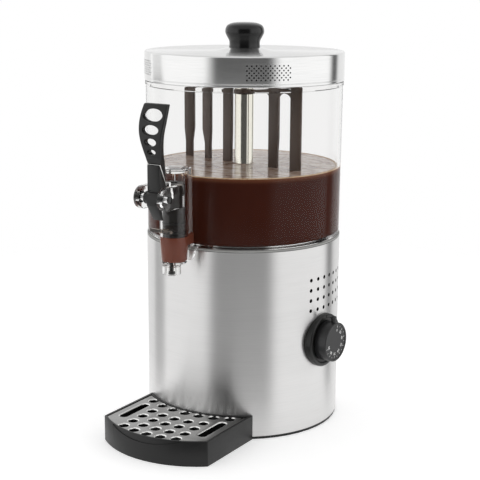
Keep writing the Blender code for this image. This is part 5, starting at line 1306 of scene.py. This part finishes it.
    def add_plunger(self):
        bottom = low("plunger_ring_1").z - self.plunger_foot
        top = high("plunger").z
        radius = self.plunger_radius
        groove = radius - self.ring_groove
        bore = self.plunger_bore
        floor = bottom + self.plunger_floor
        edge = self.groove_edge
        profile = [(0, bottom), (radius, bottom, FINE)]
        for node in ("plunger_ring_1", "plunger_ring_2"):
            under = low(node).z - CLEARANCE
            over = high(node).z + CLEARANCE
            profile += [(radius, under, edge), (groove, under), (groove, over), (radius, over, edge)]
        profile += [(radius, top, SMALL), (bore, top, THIN), (bore, floor), (0, floor)]
        body = forward(turned("body", profile))
        tip_top = high("valve_tip").z
        stem = cylinder("stem", self.stem_radius, tip_top + CLEARANCE, bottom + SMALL)
        join(body, forward(stem, NOZZLE_REACH))
        window = block(
            "window",
            (-self.finger_half, PIVOT.y, PIVOT.z - self.finger_room),
            (self.finger_half, PIVOT.y + self.window_length, PIVOT.z + self.finger_room),
        )
        cut(body, window)
        place(body, "black_plunger", "Valve black plastic", "valve", "black_plastic", "plunger")
        for node in ("plunger_ring_1", "plunger_ring_2"):
            outer = (high(node).x - low(node).x) / 2
            half = (high(node).z - low(node).z) / 2
            ring = forward(turned("ring", oval(middle(node).z, half, half, outer - half, ROUND_SMALL)))
            place(ring, node.replace("plunger", "rubber"), "Black rubber", "valve", "rubber", node)
        tip_low = low("valve_tip").z
        radius = self.tip_radius
        profile = ((0, tip_low), (radius, tip_low, EASY), (radius, tip_top, THIN), (0, tip_top))
        tip = forward(turned("tip", profile, ROUND_SMALL), NOZZLE_REACH)
        place(tip, "rubber_tip", "Black rubber", "valve", "rubber", "valve_tip")

    def add_spring(self):
        foot = low("plunger_spring").z + self.wire
        top = high("plunger_spring").z - self.wire
        curve = bpy.data.curves.new("spring", "CURVE")
        curve.dimensions = "3D"
        curve.bevel_depth = self.wire
        curve.bevel_resolution = 3
        curve.use_fill_caps = True
        line = curve.splines.new("POLY")
        steps = self.curl_steps
        last = self.curls * steps
        line.points.add(last)
        for i, point in enumerate(line.points):
            turn = WHOLE_TURN * i / steps
            height = foot + (top - foot) * i / last
            point.co = (self.coil * math.cos(turn), self.coil * math.sin(turn) - TAP_REACH, height, 1)
        spring = realised("spring", curve)
        place(spring, "return_spring", "Polished steel", "tank_unit", "plain_steel", "plunger_spring")
        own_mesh(spring)


class DISPENSER_OT_lever(bpy.types.Operator):
    """Make the lever arm, its bright trim, the grip with four holes and the axle"""

    bl_idname = "dispenser.lever"
    bl_label = "Lever"

    # Ends of the slanted joint between arm and grip
    front_reach = 0.1802
    back_reach = 0.1684
    front_split = 0.3236
    back_split = 0.2993
    hub_radius = 0.0070
    hub_half = 0.0105
    axle_hole = 0.0041
    shank_half = 0.0082
    finger_reach = 0.0265
    finger_radius = 0.0025
    finger_half = 0.0042
    foot_half = 0.0060
    foot_reach = 0.0075
    foot_drop = 0.0250
    foot_thick = 0.0020
    foot_curve = 0.0040
    trim_half = 0.0084
    trim_thick = 0.0012
    # Each hole is rounded at the front, and past the front wall it is wider
    hole_flare = 0.0006
    hollow_wider = 0.0011
    hollow_taller = 0.0009
    hole_room = 0.0200
    front_depth = 0.0007
    front_thick = 0.0038
    foot_front_share = 0.9
    foot_back_share = 0.6
    axle_head_thick = 0.0016
    # Height, reach of the front face, thickness and width of each section of the grip, from its foot upwards
    sections = (
        (0.2960, 0.1800, 0.0118, 0.0160),
        (0.3120, 0.1802, 0.0118, 0.0160),
        (0.3236, 0.1806, 0.0110, 0.0164),
        (0.3300, 0.1816, 0.0096, 0.0182),
        (0.3380, 0.1834, 0.0080, 0.0220),
        (0.3480, 0.1853, 0.0070, 0.0264),
        (0.3580, 0.1855, 0.0064, 0.0300),
        (0.3680, 0.1832, 0.0060, 0.0324),
        (0.3780, 0.1795, 0.0058, 0.0324),
        (0.3874, 0.1749, 0.0056, 0.0306),
    )
    # Height of the centre, width and height of each hole
    holes = (
        (0.3758, 0.0244, 0.0134),
        (0.3607, 0.0200, 0.0102),
        (0.3476, 0.0142, 0.0082),
        (0.3368, 0.0098, 0.0056),
    )

    def execute(self, context):
        self.add_arm()
        self.add_trim()
        self.add_grip()
        self.add_axle()
        return {"FINISHED"}

    def split(self, shift):
        """Front and back ends of the slanted joint, moved along its upward normal."""
        run = self.front_reach - self.back_reach
        rise = self.front_split - self.back_split
        length = math.hypot(run, rise)
        step = (-rise / length * shift, run / length * shift)
        return (
            (self.front_reach + step[0], self.front_split + step[1]),
            (self.back_reach + step[0], self.back_split + step[1]),
        )

    def height_at(self, line, reach):
        (front_reach, front_height), (back_reach, back_height) = line
        return back_height + (front_height - back_height) * (reach - back_reach) / (front_reach - back_reach)

    def add_arm(self):
        hub = self.hub_radius
        reach = -PIVOT.y
        half = self.hub_half
        profile = ((0, -half), (hub, -half, SMALL), (hub, half, SMALL), (0, half))
        arm = on_axle(turned("arm", profile, ROUND_MEDIUM))
        line = self.split(0)
        outline = (
            (self.front_reach, PIVOT.z), (self.front_reach, self.height_at(line, self.front_reach)),
            (self.back_reach, self.height_at(line, self.back_reach)), (self.back_reach, PIVOT.z + hub / 2),
        )
        shank = side_prism("shank", outline, self.shank_half, SMALL)
        thick = self.finger_radius
        outline = arc(
            (reach - self.finger_reach, PIVOT.z), thick, math.pi / 2, math.pi * 3 / 2, ROUND_SMALL // 2
        )
        outline += [(reach - hub / 2, PIVOT.z - thick), (reach - hub / 2, PIVOT.z + thick)]
        finger = side_prism("finger", outline, self.finger_half, SLIM)
        front = reach + hub * self.foot_front_share
        back = reach - hub * self.foot_back_share
        tip = reach - self.foot_reach
        tip_low = PIVOT.z - self.foot_drop
        outline = (
            (front, PIVOT.z), (front, PIVOT.z - hub, self.foot_curve), (tip + self.foot_thick, tip_low, FINE),
            (tip, tip_low, FINE), (back, PIVOT.z - hub, self.foot_curve), (back, PIVOT.z),
        )
        join(arm, shank, finger, side_prism("foot", outline, self.foot_half, FINE))
        cut(arm, on_axle(cylinder("hole", self.axle_hole, -half - OVERRUN, half + OVERRUN)))
        place(arm, "black_arm", "Satin black plastic", "lever", "black_plastic", "lever_arm")

    def add_trim(self):
        below = self.split(CLEARANCE)
        above = self.split(CLEARANCE + self.trim_thick)
        trim = side_prism("trim", (below[0], above[0], above[1], below[1]), self.trim_half, HAIR)
        place(trim, "bright_trim", "Polished steel", "lever", "polished_steel", "lever_trim")

    def add_grip(self):
        """Loft the grip through its sections, cut it to the slanted joint and cut its holes."""
        shape = bmesh.new()
        rings = []
        for height, reach, thick, width in smooth_run(self.sections):
            half = width / 2
            back = reach - thick
            corners = ((-half, reach, BROAD), (half, reach, BROAD), (half, back, BROAD), (-half, back, BROAD))
            rings.append(edge_ring(shape, [(x, -y, height) for x, y in softened(corners, 3)]))
        loft(shape, rings)
        bmesh.ops.recalc_face_normals(shape, faces=shape.faces)
        top = max(v.co.z for v in shape.verts)
        bevel(shape, [e for e in shape.edges if all(v.co.z > top - CUT_MERGE / 2 for v in e.verts)], BROAD, 3)
        grip = from_bmesh("grip", shape)
        line = self.split(2 * CLEARANCE + self.trim_thick)
        below = self.sections[0][0] - 2 * OVERRUN
        far = self.front_reach + 2 * OVERRUN
        near = line[1][0] + (line[0][0] - line[1][0]) * (below - line[1][1]) / (line[0][1] - line[1][1])
        half = 2 * self.shank_half
        cut(grip, side_prism("away", ((far, below), (far, self.height_at(line, far)), (near, below)), half))
        for hole in self.holes:
            self.cut_hole(grip, *hole)
        place(grip, "black_grip", "Satin black plastic", "lever", "black_plastic", "lever_grip")

    def cut_hole(self, grip, height, width, tall):
        """An oval hole, rounded at the front and wider at the back."""
        for (z0, reach0, *_), (z1, reach1, *_) in zip(self.sections, self.sections[1:]):
            if z0 <= height <= z1:
                front = reach0 + (reach1 - reach0) * (height - z0) / (z1 - z0)
        near = front - self.hole_room
        far = front + self.hole_room
        half = width / 2
        rise = tall / 2
        hole = oval(height, half, rise)
        flare = oval(height, half + self.hole_flare, rise + self.hole_flare)
        hollow = oval(height, half + self.hollow_wider, rise + self.hollow_taller)
        cut(
            grip,
            front_prism("hole", hole, near, far),
            front_prism("flare", flare, front - self.front_depth, far),
            front_prism("hollow", hollow, near, front - self.front_thick),
        )

    def add_axle(self):
        outer = high("lever_axle").x
        head = (high("lever_axle").z - low("lever_axle").z) / 2
        inner = self.axle_head_thick - outer
        profile = (
            (0, -outer), (head, -outer, FINE), (head, inner, HAIR), (AXLE_RADIUS, inner),
            (AXLE_RADIUS, outer, FINE), (0, outer),
        )
        axle = on_axle(turned("axle", profile, ROUND_MEDIUM))
        place(axle, "dark_axle", "Gloss black plastic", "tank_unit", "polished_steel", "lever_axle")


class DISPENSER_OT_paddle(bpy.types.Operator):
    """Make the mixing paddle with its five blades, and the nut that holds it"""

    bl_idname = "dispenser.paddle"
    bl_label = "Paddle"

    turn = math.radians(80)
    bore = 0.0043
    hub_radius = 0.0125
    hub_gap = 0.0005
    bar_top = 0.3935
    bar_height = 0.0050
    blade_top = 0.3970
    shoulder = 0.3360
    neck = 0.3200
    blade_width = 0.0130
    blade_thick = 0.0045
    blade_proud = 0.0002
    blade_edge = 0.0007
    bend = 0.0200
    fillet = 0.0100
    corner_steps = 8
    nut_edge = 0.0022
    # Distance of each blade from the axis, negative on the far wing, its turn about its own length, and how
    # far its two edges draw in below the shoulder
    blades = (
        (0.0464, math.radians(10), 0.0000, 0.0010),
        (0.0790, math.radians(24), 0.0000, 0.0000),
        (-0.0258, 0.0, 0.0000, 0.0005),
        (-0.0600, 0.0, 0.0039, 0.0009),
        (-0.0900, math.radians(24), 0.0016, 0.0021),
    )

    def execute(self, context):
        hub_low = high("column_tube").z + self.hub_gap
        hub_top = low("paddle_nut").z - CLEARANCE
        bore = self.bore
        radius = self.hub_radius
        profile = ((bore, hub_low), (radius, hub_low, EASY), (radius, hub_top, SOFT), (bore, hub_top))
        paddle = turned("paddle", profile, ROUND_MEDIUM)
        bar_low = self.bar_top - self.bar_height
        half_thick = self.blade_thick / 2
        for side in (-1, 1):
            ends = sorted((side * (bore + SMALL), side * self.wing(side)))
            bar = block("bar", (ends[0], -half_thick, bar_low), (ends[1], half_thick, self.bar_top), SMALL)
            join(paddle, bar)
        for spot, twist, low_inset, high_inset in self.blades:
            join(paddle, self.blade(spot, twist, low_inset, high_inset, half_thick + self.blade_proud))
            for side in (-1, 1):
                outer = abs(spot + side * (self.blade_width / 2 + self.fillet))
                if radius < outer < self.wing(spot):
                    join(paddle, self.corner(spot, side, bar_low, half_thick - CLEARANCE))
        moved(paddle, turn=Matrix.Rotation(self.turn - math.pi / 2, 3, "Z"))
        place(paddle, "brown_paddle", "Paddle brown plastic", "stirrer", "paddle_brown", "mixing_paddle")
        self.add_nut()
        return {"FINISHED"}

    def wing(self, side):
        """Reach of the wing on one side, which ends at its last blade."""
        return max(abs(spot) for spot, *_ in self.blades if spot * side > 0)

    def blade(self, spot, twist, low_inset, high_inset, half_thick):
        bottom = low("mixing_paddle").z
        half = self.blade_width / 2
        left = low_inset - half
        right = half - high_inset
        bend = self.bend
        outline = (
            (-half, self.blade_top, BROAD), (-half, self.shoulder, bend), (left, self.neck, bend),
            (left, bottom, FULL), (right, bottom, FULL), (right, self.neck, bend),
            (half, self.shoulder, bend), (half, self.blade_top, BROAD),
        )
        blade = front_prism("blade", outline, -half_thick, half_thick, self.blade_edge)
        return moved(blade, (spot, 0, 0), Matrix.Rotation(twist, 3, "Z"))

    def corner(self, spot, side, bar_low, half_thick):
        """Arched corner between a blade and the crossbar."""
        edge = spot + side * (self.blade_width / 2 - BROAD)
        size = self.fillet
        end = math.pi if side > 0 else 0
        curve = arc((edge + side * size, bar_low - size), size, math.pi / 2, end, self.corner_steps)
        over = bar_low + EASY
        outline = [(edge, over), *reversed(curve), (curve[0][0], over)]
        return front_prism("corner", outline, -half_thick, half_thick)

    def add_nut(self):
        bottom = low("paddle_nut").z
        top = high("paddle_nut").z
        radius = (high("paddle_nut").x - low("paddle_nut").x) / 2
        edge = self.nut_edge
        profile = (
            (self.bore, bottom), (radius, bottom, FINE), (radius, top, edge), (0, top), (0, top - edge),
            (self.bore, top - edge),
        )
        nut = turned("nut", profile, ROUND_MEDIUM)
        place(nut, "black_nut", "Satin black plastic", "stirrer", "black_plastic", "paddle_nut")


class DISPENSER_OT_lid(bpy.types.Operator):
    """Make the steel lid with its small vents and low boss, its liner and its knob"""

    bl_idname = "dispenser.lid"
    bl_label = "Lid"

    wall = 0.0014
    screw_hole = 0.0028
    skirt_edge = 0.0009
    # Heights above the lid's lower edge of its inner bead and of the groove round its skirt
    bead_low = 0.0018
    bead_top = 0.0030
    bead_depth = 0.0006
    groove_heights = (0.0026, 0.0031, 0.0035, 0.0040)
    groove_depth = 0.0005
    boss_height = 0.0031
    boss_foot = 0.0350
    boss_radius = 0.0205
    boss_foot_curve = 0.0060
    boss_curve = 0.0040
    # The vents are shallow, and their bottoms are painted dark with the lid's painted shade, so that they look
    # deep
    vent_depth = 0.0010
    vent_overrun = 0.0020
    vent_groups = 4
    vent_rows = 7
    vent_columns = 10
    vent_sides = 10
    vent_top = 0.4247
    vent_pitch = 0.00253
    vent_first_angle = math.radians(33.4)
    vent_angle_pitch = math.radians(2.51)
    liner_skirt = 0.1106
    liner_wall = 0.0022
    knob_bore_depth = 0.0120
    # Radius and height above the knob's foot
    knob_outline = (
        (0.0181, 0.0000), (0.0177, 0.0040), (0.0181, 0.0078), (0.0204, 0.0122), (0.0223, 0.0162),
        (0.0226, 0.0190), (0.0219, 0.0224), (0.0196, 0.0256), (0.0140, 0.0279), (0.0070, 0.0287),
    )

    def execute(self, context):
        bottom = low("lid_shell").z
        boss_top = high("lid_shell").z
        top = boss_top - self.boss_height
        under = top - self.wall
        inner = LID_RADIUS - self.wall
        groove = LID_RADIUS - self.groove_depth
        below, first, last, above = [bottom + height for height in self.groove_heights]
        profile = (
            (self.screw_hole, under), (inner, under, BROAD), (inner, bottom + self.bead_top, FINE),
            (inner - self.bead_depth, bottom + self.bead_low, SMALL), (inner - THIN, bottom, SMALL),
            (LID_RADIUS, bottom, self.skirt_edge), (LID_RADIUS, below, THIN), (groove, first, HAIR),
            (groove, last, HAIR), (LID_RADIUS, above, THIN), (LID_RADIUS, top, FULL),
            (self.boss_foot, top, self.boss_foot_curve), (self.boss_radius, boss_top, self.boss_curve),
            (self.screw_hole, boss_top),
        )
        lid = turned("lid", profile, ROUND_BODY * 2, 5)
        near = LID_RADIUS - self.vent_depth
        far = LID_RADIUS + self.vent_overrun
        diameter = context.scene.dispenser_sizes.lid_vent_diameter
        cut(lid, vents(diameter, near, far, self.vent_sides, self.vent_spots()))
        place(lid, "steel_lid", "Brushed lid steel", "lid", "brushed_steel", "lid_shell")
        self.add_liner()
        self.add_knob()
        return {"FINISHED"}

    def vent_spots(self):
        """Heights and angles of the vents, with every second row half a pitch further round."""
        spots = []
        for group in range(self.vent_groups):
            start = self.vent_first_angle + WHOLE_TURN * group / self.vent_groups
            for row in range(self.vent_rows):
                for column in range(self.vent_columns):
                    angle = start + self.vent_angle_pitch * (column + 0.5 * (row % 2))
                    spots.append((self.vent_top - self.vent_pitch * row, angle))
        return spots

    def add_liner(self):
        bottom = low("lid_liner").z
        top = high("lid_liner").z
        outer = high("lid_liner").x
        skirt = self.liner_skirt
        inner = skirt - self.liner_wall
        shelf = top - self.liner_wall
        profile = (
            (inner, bottom, FINE), (skirt, bottom, FINE), (skirt, shelf), (outer, shelf, THIN),
            (outer, top, THIN), (inner, top, FINE),
        )
        liner = turned("liner", profile, ROUND_BODY)
        place(liner, "clear_liner", "Clear tank plastic", "lid", "clear", "lid_liner")

    def add_knob(self):
        base = low("lid_knob").z
        top = high("lid_knob").z
        bore = self.screw_hole
        bore_top = base + self.knob_bore_depth
        outline = [(radius, base + height) for radius, height in smooth_run(self.knob_outline)]
        knob = turned("knob", [(bore, base), *outline, (0, top), (0, bore_top), (bore, bore_top)])
        place(knob, "gloss_knob", "Gloss black plastic", "lid", "gloss_black", "lid_knob")


class DISPENSER_OT_dial(bpy.types.Operator):
    """Make the heat dial with its bezel, pointer and printed scale"""

    bl_idname = "dispenser.dial"
    bl_label = "Heat dial"

    spindle_hole = 0.0050
    bezel_proud = 0.0056
    bezel_edge = 0.0022
    recess_depth = 0.0018
    recess_radius = 0.0272
    recess_floor_radius = 0.0262
    mark_half = 0.0007
    mark_start = 0.0268
    mark_depth = 0.0006
    knob_radius = 0.0230
    knob_bore = 0.0033
    knob_gap = 0.0005
    face_proud = 0.01919
    rim_width = 0.0020
    dish_radius = 0.0200
    dish = 0.0010
    core_depth = 0.0040
    pointer_half = 0.0021
    pointer_reach = 0.0080
    pointer_tip_share = 0.9
    pointer_low = 0.0062
    pointer_top = 0.0012
    numbers = ("0", "30", "40", "50", "60", "70", "80", "90")
    number_size = 0.0043
    number_reach = 0.0138
    number_weight = 0.00006
    scale_start = math.radians(-12)
    scale_sweep = math.radians(242)
    tick_inner = 0.0168
    tick_short = 0.0180
    tick_outer = 0.0194
    tick_half = 0.00024
    print_thick = 0.00005

    def execute(self, context):
        radius = (high("dial_bezel").z - low("dial_bezel").z) / 2
        front = BODY_RADIUS + self.bezel_proud
        recess = front - self.recess_depth
        back = BODY_RADIUS * math.cos(math.asin(radius / BODY_RADIUS)) - OVERRUN
        profile = (
            (self.spindle_hole, back), (radius, back), (radius, front, self.bezel_edge),
            (self.recess_radius, front, EASY), (self.recess_floor_radius, recess, FINE),
            (self.spindle_hole, recess),
        )
        bezel = turned("bezel", profile)
        drum = cylinder("drum", BODY_RADIUS + CLEARANCE, 0, 2 * DIAL_HEIGHT, ROUND_BODY)
        half = self.mark_half
        first = (-half, self.mark_start, front - self.mark_depth)
        mark = block("mark", first, (half, radius + EASY, front + EASY))
        cut(on_dial(bezel), drum, on_dial(mark))
        place(bezel, "dial_frame", "Satin black plastic", "base", "black_plastic", "dial_bezel")
        self.add_knob(recess + self.knob_gap)
        self.add_scale()
        return {"FINISHED"}

    def add_knob(self, back):
        radius = self.knob_radius
        face = BODY_RADIUS + self.face_proud
        dish = face - self.dish
        core = face - self.core_depth
        bore = self.knob_bore
        profile = (
            (bore, back), (radius, back, SLIM), (radius, face, BROAD), (radius - self.rim_width, face, FINE),
            (self.dish_radius, dish, THIN), (0, dish), (0, core), (bore, core),
        )
        knob = turned("knob", profile)
        half = self.pointer_half
        near = radius - SMALL
        far = radius + self.pointer_reach
        tip = half * self.pointer_tip_share
        outline = ((-half, near), (half, near), (half, far, tip), (-half, far, tip))
        join(knob, prism("pointer", outline, face - self.pointer_low, face - self.pointer_top, SLIM))
        place(on_dial(knob), "dial_turning_knob", "Dial black plastic", "dial", "dial_grey", "dial_knob")

    def add_scale(self):
        """Ticks and numbers printed round the dial's face."""
        face = BODY_RADIUS + self.face_proud - self.dish
        under = face - self.print_thick
        over = face + self.print_thick
        marks = []
        steps = 2 * (len(self.numbers) - 1)
        for i in range(steps + 1):
            inner = self.tick_inner if i % 2 == 0 else self.tick_short
            tick = block("tick", (-self.tick_half, inner, under), (self.tick_half, self.tick_outer, over))
            marks.append(round_body(tick, self.scale_start - self.scale_sweep * i / steps))
        for i, number in enumerate(self.numbers):
            words = moved(self.write(number), (0, self.number_reach, face))
            marks.append(round_body(words, self.scale_start - self.scale_sweep * 2 * i / steps))
        place(on_dial(gather(marks)), "dial_scale", "White print", "dial", "ceramic")

    def write(self, words):
        """Flat lettering as a mesh, centred on the origin."""
        text = bpy.data.curves.new("number", "FONT")
        text.body = words
        text.size = self.number_size
        text.align_x = "CENTER"
        text.align_y = "CENTER"
        text.extrude = self.print_thick
        text.offset = self.number_weight
        return realised("number", text)


class DISPENSER_OT_switch(bpy.types.Operator):
    """Finish the mains switch and the cable inlet on the far side"""

    bl_idname = "dispenser.switch"
    bl_label = "Switch and inlet"

    def execute(self, context):
        dress("Satin black plastic", "switch_body")
        dress("Rocker red", "switch_rocker")
        dress("Black rubber", "cable_inlet")
        return {"FINISHED"}


class DISPENSER_OT_tray(bpy.types.Operator):
    """Make the drip tray and its bright grille"""

    bl_idname = "dispenser.tray"
    bl_label = "Drip tray"

    half_width = 0.0710
    front_radius = 0.1120
    floor_thick = 0.0030
    wall = 0.0030
    ledge = 0.0022
    arc_steps = 40
    tab_half = 0.0070
    tab_low = 0.0150
    tab_top = 0.0190
    tab_root = 0.0018
    tab_length = 0.0060
    scallop_half = 0.0500
    scallop_drop = 0.0078
    scallop_steps = 24
    scallop_depth = 0.0012
    hole_radius = 0.0055
    hole_pitch = 0.0178
    flare = 0.0021
    rim_steps = 7
    slot_end_steps = 12
    slot_reach = 0.0540
    slot_half = 0.0048
    slot_front = 0.1730
    slot_back = 0.1240
    back_row_radius = 0.1240
    row_radius = 0.1100
    row_reaches = (0.1450, 0.1630, 0.1810, 0.1980)

    def execute(self, context):
        self.add_tray()
        self.add_grille()
        return {"FINISHED"}

    def outline(self, inset):
        """Plan of the tray: bowed front, straight sides and a hollow back that follows the drum."""
        half = self.half_width - inset
        front_radius = self.front_radius - inset
        back_radius = BODY_RADIUS + CLEARANCE + inset
        centre = (0, low("drip_tray").y + self.front_radius)
        front_turn = math.asin(half / front_radius)
        back_turn = math.asin(half / back_radius)
        down = -math.pi / 2
        front = arc(centre, front_radius, down - front_turn, down + front_turn, self.arc_steps)
        back = arc((0, 0), back_radius, down + back_turn, down - back_turn, self.arc_steps)
        front[0] = (*front[0], FULL)
        front[-1] = (*front[-1], FULL)
        return front + back

    def add_tray(self):
        height = high("drip_tray").z
        tray = prism("tray", self.outline(0), 0, height)
        half = self.tab_half
        for x in (-TAB_REACH, TAB_REACH):
            end = self.tab_length - math.sqrt((BODY_RADIUS + CLEARANCE) ** 2 - x**2)
            root = -BODY_RADIUS - self.tab_root
            join(tray, block("tab", (x - half, root, self.tab_low), (x + half, end, self.tab_top), SLIM))
        ledge = low("drip_grille").z - CLEARANCE
        well = prism("well", self.outline(self.wall + self.ledge), self.floor_thick, ledge + OVERRUN)
        seat = prism("seat", self.outline(self.wall), ledge, height + OVERRUN)
        cut(tray, well, seat)
        cut(tray, self.scallop(height))
        place(soften(tray, FINE), "black_tray", "Tray black plastic", "tray", "black_plastic", "drip_tray")

    def scallop(self, height):
        """The shallow hollow along the top of the tray's front wall."""
        half = self.scallop_half
        steps = self.scallop_steps
        shares = [2 * i / steps - 1 for i in range(1, steps)]
        curve = [(half * share, height - self.scallop_drop * (1 - share**2)) for share in shares]
        reach = -low("drip_tray").y
        outline = [(-half, height + OVERRUN), *curve, (half, height + OVERRUN)]
        tool = front_prism("scallop", outline, BODY_RADIUS, reach + OVERRUN)
        core_radius = self.front_radius - self.scallop_depth
        core = cylinder("core", core_radius, -OVERRUN, height + 2 * OVERRUN, ROUND_BODY)
        return cut(tool, forward(core, reach - self.front_radius))

    def add_grille(self):
        bottom = low("drip_grille").z
        top = high("drip_grille").z
        grille = prism("grille", self.outline(self.wall + CLEARANCE), bottom, top, THIN)
        rim = self.rolled_rim(bottom, top)
        radius = self.hole_radius
        profile = [(0, rim[0][1]), *((radius + grow, height) for grow, height in rim), (0, rim[-1][1])]
        tools = [moved(turned("hole", profile, ROUND_MEDIUM), (x, y, 0)) for x, y in self.hole_places()]
        tools += [self.slot_tool(x, rim) for x in (-self.slot_reach, self.slot_reach)]
        cut(grille, gather(tools))
        place(grille, "bright_grille", "Grille steel", "grille", "polished_steel", "drip_grille")

    def rolled_rim(self, bottom, top):
        """How far the rim of a hole flares at each height, from below the plate to above it."""
        steps = self.rim_steps
        thick = top - bottom
        turns = [math.pi / 2 * i / steps for i in range(steps + 1)]
        rim = [(self.flare * (1 - math.cos(turn)), bottom + thick * math.sin(turn)) for turn in turns]
        return [(0, bottom - OVERRUN), *rim, (rim[-1][0], top + OVERRUN)]

    def slot_tool(self, x, rim):
        """A long hole with the same rolled rim."""
        shape = bmesh.new()
        loops = []
        for grow, height in rim:
            half = self.slot_half + grow
            steps = self.slot_end_steps
            front = arc((x, self.slot_half - self.slot_front), half, math.pi, WHOLE_TURN, steps)
            back = arc((x, -self.slot_back - self.slot_half), half, 0, math.pi, steps)
            loops.append(edge_ring(shape, [(*point, height) for point in front + back]))
        loft(shape, loops)
        return from_bmesh("slot", shape)

    def hole_places(self):
        """A back row that follows the drum, and rows that follow the front."""
        places = []
        for x in (i * self.hole_pitch for i in range(-3, 4)):
            places.append((x, -math.sqrt(self.back_row_radius**2 - x**2)))
        for reach in self.row_reaches:
            for x in (i * self.hole_pitch for i in range(-2, 3)):
                places.append((x, self.row_radius - math.sqrt(self.row_radius**2 - x**2) - reach))
        return places


OPERATORS = (
    DISPENSER_OT_stage,
    DISPENSER_OT_body,
    DISPENSER_OT_heater,
    DISPENSER_OT_tank,
    DISPENSER_OT_tap,
    DISPENSER_OT_lever,
    DISPENSER_OT_paddle,
    DISPENSER_OT_lid,
    DISPENSER_OT_dial,
    DISPENSER_OT_switch,
    DISPENSER_OT_tray,
)


class DISPENSER_PT_panel(bpy.types.Panel):
    """Lists the dispenser's pieces and its stage"""

    bl_idname = "DISPENSER_PT_panel"
    bl_label = "Hot Chocolate Dispenser"
    bl_space_type = "VIEW_3D"
    bl_region_type = "UI"
    bl_category = "Dispenser"

    def draw(self, context):
        column = self.layout.column(align=True)
        for settings in (context.scene.dispenser_sizes, context.scene.dispenser_studio):
            for name in settings.__annotations__:
                column.prop(settings, name)
        for operator in OPERATORS:
            column.operator(operator.bl_idname)


CLASSES = (DispenserStudio, DispenserSizes, *OPERATORS, DISPENSER_PT_panel)


def register():
    for item in CLASSES:
        bpy.utils.register_class(item)
    bpy.types.Scene.dispenser_studio = bpy.props.PointerProperty(type=DispenserStudio)
    bpy.types.Scene.dispenser_sizes = bpy.props.PointerProperty(type=DispenserSizes)


def unregister():
    del bpy.types.Scene.dispenser_sizes
    del bpy.types.Scene.dispenser_studio
    for item in reversed(CLASSES):
        bpy.utils.unregister_class(item)


def main():
    register()
    bpy.ops.dispenser.stage()
    bpy.ops.dispenser.body()
    bpy.ops.dispenser.heater()
    bpy.ops.dispenser.tank()
    bpy.ops.dispenser.tap()
    bpy.ops.dispenser.lever()
    bpy.ops.dispenser.paddle()
    bpy.ops.dispenser.lid()
    bpy.ops.dispenser.dial()
    bpy.ops.dispenser.switch()
    bpy.ops.dispenser.tray()


if __name__ == "__main__":
    main()
